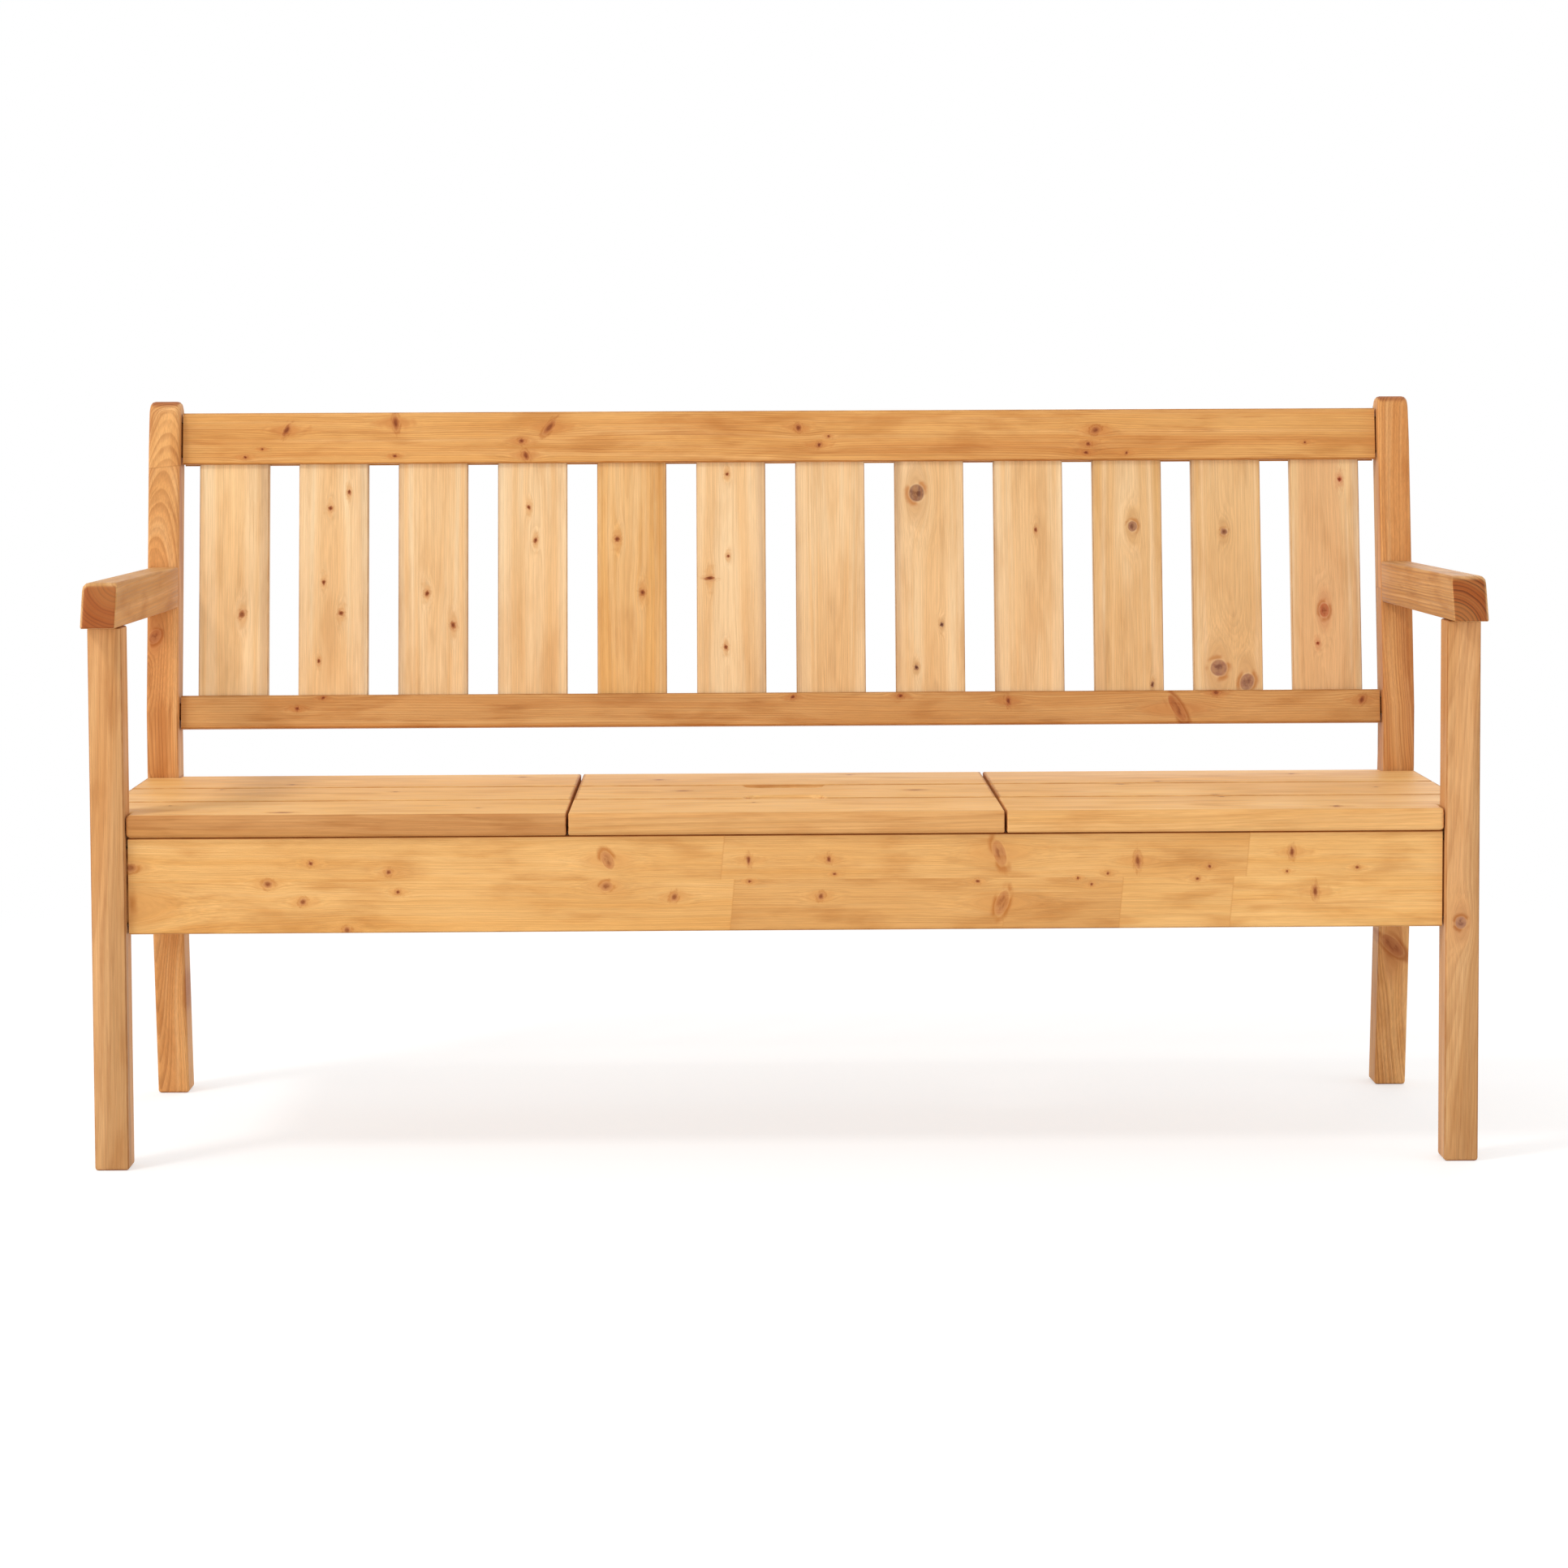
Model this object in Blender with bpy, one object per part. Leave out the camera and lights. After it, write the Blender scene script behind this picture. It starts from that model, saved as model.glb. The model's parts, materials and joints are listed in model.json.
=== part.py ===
"""Garden bench with a table that lifts out of the middle of its seat.

Bench coordinates, in metres: x runs to the viewer's right, y from the front faces of the front legs to the back,
z up from the floor. One empty carries the whole bench and brings the middle of its depth to y = 0.
"""

import math

import bmesh
import bpy
from mathutils import Vector

# Seat sections, across the bench
table_width = 0.538
side_seat_width = 0.541
section_gap = 0.003

# Seat boards and the height of the seat
seat_height = 0.4405
board_thickness = 0.028
board_width = 0.145
board_gap = 0.005
seat_setback = 0.003
seat_past_post = 0.016

# Finger recesses in the middle board of the table
grip_length = 0.102
grip_depth = 0.030
grip_side_run = 0.006
grip_radius = 0.018

# Legs and back posts
leg_size = 0.042
post_depth = 0.048
post_straight = 0.081
post_bend_above_seat = 0.0065
post_above_rail = 0.0155
post_top_radius = 0.020
foot_splay = math.radians(7.04)
back_rake = math.radians(7.745)

# Armrests
arm_width = 0.044
arm_height = 0.055
arm_above_seat = 0.2335
arm_drop = 0.006
arm_overhang = 0.045
nose_run = 0.022
nose_radius = 0.014

# Rails under the seat
apron_height = 0.120
apron_thickness = 0.028
apron_setback = 0.010
seat_rail_height = 0.090
seat_rail_thickness = 0.028
rear_rail_bearing = 0.014
bearer_thickness = 0.042

# Rails and slats of the back, measured along the rake
low_rail_above_seat = 0.0644
low_rail_height = 0.045
slat_show = 0.3145
top_rail_height = 0.070
back_rail_thickness = 0.027
back_rail_setback = 0.015
slat_count = 12
slat_width = 0.094
slat_thickness = 0.016
slat_behind_rail = 0.007
slat_end_gap = 0.0245
slat_housing = 0.010

# Tenons of the apron and of the back rails
tenon_length = 0.020
tenon_thickness = 0.010
tenon_front = 0.004
tenon_shoulder = 0.012
rail_end_gap = 0.0024

# Lifting gear of the table
swing_arm_width = 0.036
swing_arm_thickness = 0.020
swing_arm_play = 0.002
swing_arm_headroom = 0.003
lift_lean = math.radians(8.0)
pivot_spread = 0.130
pivot_drop = 0.046
pivot_wood = 0.004
cleat_thickness = 0.028
stretcher_radius = 0.009
bolt_radius = 0.004
bolt_head_flat = 0.0065
bolt_head_height = 0.005
bolt_end_inset = 0.001
washer_radius = 0.009

# Clearances
rest_gap = 0.0003
notch_gap = 0.001
housing_play = 0.0003
pivot_play = 0.0004
stop_play = 0.0005
cleat_end_gap = 0.012
cut_past = 0.005
post_top_share = 0.45

# Roundness of the drawn curves
curve_steps = 8
round_sides = 24

# Places across the bench
table_edge = table_width / 2
seat_inner_end = table_edge + section_gap
leg_inner = seat_inner_end + side_seat_width + notch_gap
leg_outer = leg_inner + leg_size
leg_middle = leg_inner + leg_size / 2
bearer_middle = table_edge + section_gap / 2
bearer_inner = bearer_middle - bearer_thickness / 2
bearer_outer = bearer_middle + bearer_thickness / 2
swing_outer = bearer_inner - swing_arm_play
swing_inner = swing_outer - swing_arm_thickness
cleat_outer = swing_inner - swing_arm_play
cleat_inner = cleat_outer - cleat_thickness

# Heights
seat_underside = seat_height - board_thickness
rail_top = seat_underside - rest_gap
bend_low = seat_height + post_bend_above_seat
bend_high = bend_low + post_straight
arm_underside = seat_height + arm_above_seat

# Depths
board_front = [seat_setback + row * (board_width + board_gap) for row in range(3)]
seat_back = board_front[2] + board_width
post_front = seat_back - seat_past_post
apron_back = apron_setback + apron_thickness
rear_rail_front = seat_back - rear_rail_bearing

# Back frame: its own coordinates start where the post bends, u runs into the back, w up along the rake
low_rail_base = (
    seat_height + low_rail_above_seat - bend_high + back_rail_setback * math.sin(back_rake)
) / math.cos(back_rake)
low_rail_crest = low_rail_base + low_rail_height
top_rail_base = low_rail_crest + slat_show
top_rail_crest = top_rail_base + top_rail_height
slat_front = back_rail_setback + slat_behind_rail
slat_back = slat_front + slat_thickness
top_rail_top = bend_high + top_rail_crest * math.cos(back_rake) - back_rail_setback * math.sin(back_rake)
post_top = top_rail_top + post_above_rail

# Pivots of the swing arms, put away: the arms lie flat and point to the back
swing_radius = swing_arm_width / 2
front_pivot_z = rail_top - swing_arm_headroom - swing_radius
rear_pivot_z = front_pivot_z - pivot_drop
stop_height = rail_top - front_pivot_z
front_pivot_y = apron_back + stop_play + swing_radius / math.cos(lift_lean) + stop_height * math.tan(lift_lean)
rear_pivot_y = front_pivot_y + pivot_spread
rear_reach = rear_rail_front - swing_arm_headroom - swing_radius
swing_length = rear_reach - rear_pivot_y
bearer_base = rear_pivot_z - swing_radius - pivot_wood


def post_front_at(z):
    """y of the front face of a back post at height z."""
    if z < bend_low:
        return post_front + (bend_low - z) * math.tan(foot_splay)
    return post_front + max(0.0, z - bend_high) * math.tan(back_rake)


def arm_underside_at(y):
    """z of the underside of an armrest, which falls towards the back."""
    return arm_underside - arm_drop * (y + arm_overhang) / (post_front + arm_overhang)


def rounded_corner(before, corner, after, radius, steps=curve_steps):
    """Points of the arc that rounds off one corner of an outline."""
    corner = Vector(corner)
    to_before = (Vector(before) - corner).normalized()
    to_after = (Vector(after) - corner).normalized()
    half_angle = to_before.angle(to_after) / 2
    reach = radius / math.tan(half_angle)
    centre = corner + (to_before + to_after).normalized() * radius / math.sin(half_angle)
    first = corner + to_before * reach - centre
    last = corner + to_after * reach - centre
    sweep = math.pi - 2 * half_angle
    points = []
    for step in range(steps + 1):
        share = step / steps
        spoke = first * math.sin((1 - share) * sweep) + last * math.sin(share * sweep)
        points.append(tuple(centre + spoke / math.sin(sweep)))
    return points


def circle(middle_u, middle_v, radius, first_angle=0.0, sweep=2 * math.pi, steps=round_sides):
    """Points on a circle, or on a part of one, in the plane of an outline."""
    points = []
    for step in range(steps):
        angle = first_angle + sweep * step / steps
        points.append((middle_u + radius * math.cos(angle), middle_v + radius * math.sin(angle)))
    return points


def rectangle(u_low, u_high, v_low, v_high):
    return [(u_low, v_low), (u_high, v_low), (u_high, v_high), (u_low, v_high)]


def finish(name, red, green, blue, roughness, metallic=0.0):
    """A plain material in the colour of one kind of piece."""
    material = bpy.data.materials.new(name)
    material.use_nodes = True
    shader = material.node_tree.nodes["Principled BSDF"]
    shader.inputs["Base Color"].default_value = (red, green, blue, 1.0)
    shader.inputs["Roughness"].default_value = roughness
    shader.inputs["Metallic"].default_value = metallic
    return material


def empty(name, y, z, parent=None):
    marker = bpy.data.objects.new(name, None)
    marker.location = (0.0, y, z)
    marker.parent = parent
    bpy.context.collection.objects.link(marker)
    return marker


def node(name, shape, material, parent, origin):
    """One named piece from a bmesh, with its own origin, under its parent empty."""
    bmesh.ops.recalc_face_normals(shape, faces=shape.faces)
    bmesh.ops.translate(shape, verts=shape.verts, vec=-Vector(origin))
    mesh = bpy.data.meshes.new(name)
    shape.to_mesh(mesh)
    shape.free()
    mesh.materials.append(material)
    piece = bpy.data.objects.new(name, mesh)
    carried = parent in (bench, back_frame)
    piece.location = Vector(origin) if carried else Vector(origin) - parent.location
    piece.parent = parent
    bpy.context.collection.objects.link(piece)
    return piece


def prism(name, outline, axis, start, end, material, parent, origin=None):
    """A piece of one outline, drawn out along x or z."""
    shape = bmesh.new()
    if axis == "x":
        near = [shape.verts.new((start, u, v)) for u, v in outline]
        far = [shape.verts.new((end, u, v)) for u, v in outline]
    else:
        near = [shape.verts.new((u, v, start)) for u, v in outline]
        far = [shape.verts.new((u, v, end)) for u, v in outline]
    shape.faces.new(near)
    shape.faces.new(far)
    for index in range(len(outline)):
        after = (index + 1) % len(outline)
        shape.faces.new((near[index], near[after], far[after], far[index]))
    if origin is None:
        corners = near + far
        low = [min(vert.co[i] for vert in corners) for i in range(3)]
        high = [max(vert.co[i] for vert in corners) for i in range(3)]
        origin = [(low[i] + high[i]) / 2 for i in range(3)]
    return node(name, shape, material, parent, origin)


def combine(target, tool, operation):
    """Cuts one shape out of a piece, or joins it on, and keeps only the piece."""
    step = target.modifiers.new("combine", "BOOLEAN")
    step.operation = operation
    step.solver = "EXACT"
    step.object = tool
    bpy.context.view_layer.update()
    evaluated = target.evaluated_get(bpy.context.evaluated_depsgraph_get())
    mesh = bpy.data.meshes.new_from_object(evaluated)
    old_mesh = target.data
    target.modifiers.clear()
    target.data = mesh
    bpy.data.meshes.remove(old_mesh)
    bpy.data.objects.remove(tool)


def drill(target, y, z, x_low, x_high, parent):
    """A round hole for a pivot bolt, right through a piece that reaches from x_low to x_high."""
    outline = circle(y, z, bolt_radius + pivot_play)
    cutter = prism("cutter", outline, "x", x_low - cut_past, x_high + cut_past, steel, parent)
    combine(target, cutter, "DIFFERENCE")


def smooth_round(piece, widest_turn=math.radians(30.0)):
    """Shades the curved faces of a piece smooth and keeps its sharp edges."""
    piece.data.shade_smooth()
    piece.data.set_sharp_from_angle(angle=widest_turn)


def spanning(side, x_first, x_second):
    """The two ends of a span across the bench, put on the left (-1) or the right (1)."""
    return sorted((side * x_first, side * x_second))


def build_posts_and_legs():
    """Front legs and bent back posts."""
    foot_y = post_front_at(0.0)
    top_y = post_front_at(post_top)
    front_shoulder = (post_front_at(bend_high), bend_high)
    back_shoulder = (post_front_at(bend_high) + post_depth, bend_high)
    front_crest = (top_y, post_top)
    back_crest = (top_y + post_depth, post_top)
    crest_radius = min(post_top_radius, post_depth * post_top_share)
    post_outline = [(foot_y, 0.0), (foot_y + post_depth, 0.0), (post_front + post_depth, bend_low), back_shoulder]
    post_outline += rounded_corner(back_shoulder, back_crest, front_crest, crest_radius)
    post_outline += rounded_corner(back_crest, front_crest, front_shoulder, crest_radius)
    post_outline += [front_shoulder, (post_front, bend_low)]
    leg_top = arm_underside_at(leg_size) - rest_gap
    leg_outline = rectangle(0.0, leg_size, 0.0, leg_top)
    for side, word in sides:
        x_low, x_high = spanning(side, leg_inner, leg_outer)
        legs[side] = prism("front_leg_" + word, leg_outline, "x", x_low, x_high, post_wood, bench)
        posts[side] = prism("back_post_" + word, post_outline, "x", x_low, x_high, post_wood, bench)
    reach = [y for y, z in post_outline]
    bench.location.y = (arm_overhang - max(reach)) / 2


def build_armrests():
    """Armrests from the front end, past the legs, to the raked face of the posts."""
    back_base = arm_underside_at(post_front)
    end_low = (post_front_at(back_base) - rest_gap, back_base)
    end_high = (post_front_at(back_base + arm_height) - rest_gap, back_base + arm_height)
    front_low = (-arm_overhang, arm_underside)
    front_high = (nose_run - arm_overhang, arm_underside + arm_height)
    outline = [front_low, end_low, end_high]
    outline += rounded_corner(end_high, front_high, front_low, nose_radius)
    for side, word in sides:
        x_low, x_high = spanning(side, leg_inner, leg_inner + arm_width)
        prism("armrest_" + word, outline, "x", x_low, x_high, post_wood, bench)


def tenon(rail, sleeves, y_low, z_low, z_high, shoulder_x, parent):
    """Tenons on both ends of a rail, and the mortises for them in a pair of posts or legs."""
    for side, word in sides:
        tip = leg_inner + tenon_length
        x_low, x_high = spanning(side, shoulder_x - tenon_length, tip)
        outline = rectangle(y_low, y_low + tenon_thickness, z_low, z_high)
        tongue = prism("tongue", outline, "x", x_low, x_high, rail_wood, parent)
        combine(rail, tongue, "UNION")
        x_low, x_high = spanning(side, leg_inner - cut_past, tip + housing_play)
        outline = rectangle(
            y_low - housing_play,
            y_low + tenon_thickness + housing_play,
            z_low - housing_play,
            z_high + housing_play,
        )
        combine(sleeves[side], prism("mortise", outline, "x", x_low, x_high, rail_wood, parent), "DIFFERENCE")


def build_seat_rails():
    """Apron, side rails, rear rail and the two bearers under the seat."""
    shoulder_x = leg_inner - rail_end_gap
    outline = rectangle(apron_setback, apron_back, rail_top - apron_height, rail_top)
    apron = prism("front_apron", outline, "x", -shoulder_x, shoulder_x, rail_wood, bench)
    tenon_low = rail_top - apron_height + tenon_shoulder
    tenon(apron, legs, apron_setback + tenon_front, tenon_low, rail_top - tenon_shoulder, shoulder_x, bench)

    base = rail_top - seat_rail_height
    outline = [
        (leg_size + rest_gap, base),
        (post_front_at(base) - rest_gap, base),
        (post_front_at(rail_top) - rest_gap, rail_top),
        (leg_size + rest_gap, rail_top),
    ]
    for side, word in sides:
        half = seat_rail_thickness / 2
        x_low, x_high = spanning(side, leg_middle - half, leg_middle + half)
        prism("side_rail_" + word, outline, "x", x_low, x_high, rail_wood, bench)

    outline = rectangle(rear_rail_front, rear_rail_front + seat_rail_thickness, base, rail_top)
    end_x = leg_inner - rest_gap
    prism("rear_seat_rail", outline, "x", -end_x, end_x, rail_wood, bench)

    outline = rectangle(apron_back + rest_gap, rear_rail_front - rest_gap, bearer_base, rail_top)
    for side, word in sides:
        x_low, x_high = spanning(side, bearer_inner, bearer_outer)
        bearer = prism("table_bearer_" + word, outline, "x", x_low, x_high, rail_wood, bench)
        for pivot_y, pivot_z in ((front_pivot_y, front_pivot_z), (rear_pivot_y, rear_pivot_z)):
            drill(bearer, pivot_y, pivot_z, x_low, x_high, bench)


def build_back():
    """Top and low rail with their housing grooves, and the slats that stand in them."""
    shoulder_x = leg_inner - rail_end_gap
    rail_back = back_rail_setback + back_rail_thickness
    groove_front = slat_front - housing_play
    groove_back = slat_back + housing_play
    low_groove = low_rail_crest - slat_housing
    top_groove = top_rail_base + slat_housing
    low_outline = [
        (back_rail_setback, low_rail_base),
        (rail_back, low_rail_base),
        (rail_back, low_rail_crest),
        (groove_back, low_rail_crest),
        (groove_back, low_groove),
        (groove_front, low_groove),
        (groove_front, low_rail_crest),
        (back_rail_setback, low_rail_crest),
    ]
    top_outline = [
        (back_rail_setback, top_rail_crest),
        (rail_back, top_rail_crest),
        (rail_back, top_rail_base),
        (groove_back, top_rail_base),
        (groove_back, top_groove),
        (groove_front, top_groove),
        (groove_front, top_rail_base),
        (back_rail_setback, top_rail_base),
    ]
    low_rail = prism("back_low_rail", low_outline, "x", -shoulder_x, shoulder_x, rail_wood, back_frame)
    top_rail = prism("back_top_rail", top_outline, "x", -shoulder_x, shoulder_x, rail_wood, back_frame)
    tenon_y = back_rail_setback + tenon_front
    tenon(low_rail, posts, tenon_y, low_rail_base + tenon_shoulder, low_groove, shoulder_x, back_frame)
    tenon(top_rail, posts, tenon_y, top_groove, top_rail_crest - tenon_shoulder, shoulder_x, back_frame)

    slat_low = low_groove + rest_gap
    slat_high = top_groove - rest_gap
    first_middle = slat_end_gap + slat_width / 2 - leg_inner
    pitch = -2 * first_middle / (slat_count - 1)
    outline = rectangle(slat_front, slat_back, slat_low, slat_high)
    for index in range(slat_count):
        middle = first_middle + index * pitch
        name = f"back_slat_{index + 1:02d}"
        prism(name, outline, "x", middle - slat_width / 2, middle + slat_width / 2, slat_wood, back_frame)


def build_side_seats():
    """Three boards on each side of the table, notched round the leg and the post."""
    notch_x = leg_inner - notch_gap
    leg_notch_y = leg_size + notch_gap
    post_notch_y = post_front - notch_gap
    front_y, middle_y, rear_y = board_front
    outlines = {
        "front": [
            (seat_inner_end, front_y),
            (notch_x, front_y),
            (notch_x, leg_notch_y),
            (leg_outer, leg_notch_y),
            (leg_outer, front_y + board_width),
            (seat_inner_end, front_y + board_width),
        ],
        "middle": rectangle(seat_inner_end, leg_outer, middle_y, middle_y + board_width),
        "rear": [
            (seat_inner_end, rear_y),
            (leg_outer, rear_y),
            (leg_outer, post_notch_y),
            (notch_x, post_notch_y),
            (notch_x, seat_back),
            (seat_inner_end, seat_back),
        ],
    }
    for side, word in sides:
        for row, half_outline in outlines.items():
            outline = [(side * x, y) for x, y in half_outline]
            prism(f"seat_{row}_board_{word}", outline, "z", seat_underside, seat_height, seat_wood, bench)


def build_table():
    """The table: three boards on two cleats, with the bolts and washers of its swing arms."""
    front_y, middle_y, rear_y = board_front
    for row, board_y in (("front", front_y), ("rear", rear_y)):
        outline = rectangle(-table_edge, table_edge, board_y, board_y + board_width)
        prism(f"table_{row}_board", outline, "z", seat_underside, seat_height, seat_wood, table_axis)

    half_grip = grip_length / 2
    floor_half = half_grip - grip_side_run
    recess = [(-half_grip, 0.0)]
    recess += rounded_corner((-half_grip, 0.0), (-floor_half, grip_depth), (0.0, grip_depth), grip_radius)
    recess += rounded_corner((0.0, grip_depth), (floor_half, grip_depth), (half_grip, 0.0), grip_radius)
    recess.append((half_grip, 0.0))
    outline = [(-table_edge, middle_y)]
    outline += [(x, middle_y + depth) for x, depth in recess]
    outline += [(table_edge, middle_y), (table_edge, middle_y + board_width)]
    outline += [(x, middle_y + board_width - depth) for x, depth in reversed(recess)]
    outline.append((-table_edge, middle_y + board_width))
    prism("table_middle_board", outline, "z", seat_underside, seat_height, seat_wood, table_axis)

    cleat_front = apron_back + cleat_end_gap
    shallow = front_pivot_z - swing_radius
    deep = rear_pivot_z - swing_radius
    deep_start = rear_reach - swing_arm_width
    cleat_back = rear_reach + swing_radius
    outline = [
        (cleat_front, shallow),
        (deep_start - pivot_drop, shallow),
        (deep_start, deep),
        (cleat_back, deep),
        (cleat_back, rail_top),
        (cleat_front, rail_top),
    ]
    upper_pivots = (("front", front_pivot_y + swing_length, front_pivot_z), ("rear", rear_reach, rear_pivot_z))
    for side, word in sides:
        x_low, x_high = spanning(side, cleat_inner, cleat_outer)
        cleat = prism("table_cleat_" + word, outline, "x", x_low, x_high, rail_wood, table_axis)
        for row, pivot_y, pivot_z in upper_pivots:
            drill(cleat, pivot_y, pivot_z, x_low, x_high, table_axis)
            tip = swing_outer - bolt_end_inset
            pivot_bolt(f"table_bolt_{row}_{word}", side, cleat_inner, tip, pivot_y, pivot_z, table_axis)
            pivot_washer(f"table_washer_{row}_{word}", side, cleat_outer, pivot_y, pivot_z, table_axis)


def build_swing_arms():
    """Front and rear swing arms, the rear stretcher, and the bolts and washers at the bearers."""
    rows = (("front", front_axis), ("rear", rear_axis))
    for row, axis in rows:
        pivot_y, pivot_z = axis.location.y, axis.location.z
        far_y = pivot_y + swing_length
        quarter = math.pi / 2
        outline = circle(pivot_y, pivot_z, swing_radius, quarter, math.pi, curve_steps)
        outline.append((pivot_y, pivot_z - swing_radius))
        outline += circle(far_y, pivot_z, swing_radius, -quarter, math.pi, curve_steps)
        outline.append((far_y, pivot_z + swing_radius))
        for side, word in sides:
            x_low, x_high = spanning(side, swing_inner, swing_outer)
            origin = ((x_low + x_high) / 2, pivot_y, pivot_z)
            name = f"swing_arm_{row}_{word}"
            arm = prism(name, outline, "x", x_low, x_high, rail_wood, axis, origin)
            drill(arm, pivot_y, pivot_z, x_low, x_high, axis)
            drill(arm, far_y, pivot_z, x_low, x_high, axis)
            smooth_round(arm)
            tip = swing_inner + bolt_end_inset
            pivot_bolt(f"bearer_bolt_{row}_{word}", side, bearer_outer, tip, pivot_y, pivot_z, bench)
            pivot_washer(f"bearer_washer_{row}_{word}", side, swing_outer, pivot_y, pivot_z, bench)
    outline = circle(rear_pivot_y + swing_length / 2, rear_pivot_z, stretcher_radius)
    end_x = swing_inner - rest_gap
    origin = (0.0, rear_pivot_y, rear_pivot_z)
    smooth_round(prism("swing_arm_stretcher", outline, "x", -end_x, end_x, rail_wood, rear_axis, origin))


def pivot_bolt(name, side, seat_x, tip_x, y, z, parent):
    """A hexagon bolt along x: its head lies on seat_x and its shank ends at tip_x."""
    away = math.copysign(1.0, seat_x - tip_x)
    under_head = seat_x + away * rest_gap
    head_end = under_head + away * bolt_head_height
    shape = bmesh.new()
    rings = []
    for x, on_head in ((head_end, True), (under_head, True), (under_head, False), (tip_x, False)):
        ring = []
        for step in range(round_sides):
            angle = 2 * math.pi * step / round_sides
            from_flat = math.remainder(angle, math.pi / 3)
            reach = bolt_head_flat / math.cos(from_flat) if on_head else bolt_radius
            ring.append(shape.verts.new((side * x, y + reach * math.cos(angle), z + reach * math.sin(angle))))
        rings.append(ring)
    shape.faces.new(rings[0])
    shape.faces.new(rings[-1])
    for near, far in zip(rings, rings[1:]):
        for step in range(round_sides):
            after = (step + 1) % round_sides
            shape.faces.new((near[step], near[after], far[after], far[step]))
    smooth_round(node(name, shape, steel, parent, (side * (head_end + tip_x) / 2, y, z)))


def pivot_washer(name, side, base_x, y, z, parent):
    """The washer that fills the play beside a swing arm, from base_x outwards."""
    x_low, x_high = spanning(side, base_x + rest_gap, base_x + swing_arm_play - rest_gap)
    washer = prism(name, circle(y, z, washer_radius), "x", x_low, x_high, steel, parent)
    drill(washer, y, z, x_low, x_high, parent)
    smooth_round(washer)


for leftover in list(bpy.data.objects):
    bpy.data.objects.remove(leftover)

post_wood = finish("post_wood", 0.46, 0.225, 0.075, 0.45)
rail_wood = finish("rail_wood", 0.54, 0.29, 0.10, 0.45)
slat_wood = finish("slat_wood", 0.62, 0.39, 0.17, 0.45)
seat_wood = finish("seat_wood", 0.60, 0.36, 0.15, 0.42)
steel = finish("steel", 0.55, 0.55, 0.56, 0.35, 1.0)

sides = ((-1, "left"), (1, "right"))
legs = {}
posts = {}
bench = empty("bench", 0.0, 0.0)
back_frame = empty("back_frame", post_front, bend_high, bench)
back_frame.rotation_euler.x = -back_rake
front_axis = empty("front_swing_axis", front_pivot_y, front_pivot_z, bench)
rear_axis = empty("rear_swing_axis", rear_pivot_y, rear_pivot_z, bench)
table_axis = empty("table_axis", front_pivot_y + swing_length, front_pivot_z, bench)

build_posts_and_legs()
build_armrests()
build_seat_rails()
build_back()
build_side_seats()
build_table()
build_swing_arms()
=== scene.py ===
"""Looks of the garden bench with the lift-up table: eased pine boards, honey stain, zinc bolts and a white studio."""

import json
import math

import bmesh
import bpy
from mathutils import Matrix, Vector
from mathutils.bvhtree import BVHTree

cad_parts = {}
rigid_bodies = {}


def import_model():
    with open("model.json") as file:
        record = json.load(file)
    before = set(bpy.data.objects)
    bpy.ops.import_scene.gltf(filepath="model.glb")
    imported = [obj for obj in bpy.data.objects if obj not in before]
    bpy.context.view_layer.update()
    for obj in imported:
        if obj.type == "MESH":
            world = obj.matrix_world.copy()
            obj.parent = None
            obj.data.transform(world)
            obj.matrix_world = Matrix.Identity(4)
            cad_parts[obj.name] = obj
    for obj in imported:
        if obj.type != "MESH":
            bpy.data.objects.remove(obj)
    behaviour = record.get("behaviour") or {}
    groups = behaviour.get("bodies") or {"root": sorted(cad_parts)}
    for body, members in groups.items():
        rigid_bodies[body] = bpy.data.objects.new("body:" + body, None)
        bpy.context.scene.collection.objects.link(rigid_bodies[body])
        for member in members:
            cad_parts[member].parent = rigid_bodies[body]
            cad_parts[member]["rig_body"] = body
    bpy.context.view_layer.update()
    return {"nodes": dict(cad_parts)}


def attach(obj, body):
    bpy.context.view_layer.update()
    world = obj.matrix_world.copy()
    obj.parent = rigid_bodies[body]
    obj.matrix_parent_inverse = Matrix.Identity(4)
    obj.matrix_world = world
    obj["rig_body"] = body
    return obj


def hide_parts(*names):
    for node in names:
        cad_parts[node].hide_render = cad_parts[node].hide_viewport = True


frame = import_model()

MM = 0.001
SIDES = ("left", "right")
ROWS = ("front", "middle", "rear")
SWING_ARM_PAIRS = ("front", "rear")

# Directions that the boards' grain runs in. The back leans by the rake of its posts.
BACK_RAKE = math.radians(7.745)
ACROSS_BENCH = Vector((1, 0, 0))
INTO_BENCH = Vector((0, 1, 0))
UPRIGHT = Vector((0, 0, 1))
UP_THE_BACK = Vector((0, math.sin(BACK_RAKE), math.cos(BACK_RAKE)))

# Rounding of the arrises, in metres.
BOLT_EASE = 0.0003
STRETCHER_EASE = 0.0015
SLAT_EASE = 0.0018
SWING_ARM_EASE = 0.002
SEAT_END_EASE = 0.0022
FINE_EASE = 0.0025
BOARD_EASE = 0.003
LOW_ARRIS_EASE = 0.004
SEAT_EASE = 0.005
POST_TOP_EASE = 0.007
ARM_EASE = 0.009
LARGEST_EASE = 0.012
ARRIS_STEPS = 3

# An arris turns by more than SHARP_TURN. Walls that face each other over less than MORTISE_SPAN stay sharp.
SHARP_TURN = math.radians(35)
FLAT_TURN = math.radians(1)
MORTISE_SPAN = 0.060
WELD = 0.01 * MM
WALL_START = 0.1 * MM

# How far from the ends of a board its ends' rounding counts, in metres.
SEAT_END = 0.004
POST_TOP = 0.035
FOOT = 0.010
# Above and outside these an armrest's arrises are the softest.
ARM_LOW_ARRIS = -0.020
ARM_OUTSIDE = 0.015

# Half length of the rails and the apron between their tenons, in mm. A tenon that shows in its joint is darker than the
# board by so many steps of tone: a painted shadow of the narrow gap between the board's end and the post or leg.
# Boards without tenons end long before NO_SHOULDER.
SHOULDER = 811.7
NO_SHOULDER = 9000
TENON_PAINTED_SHADOW = -4.5

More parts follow.
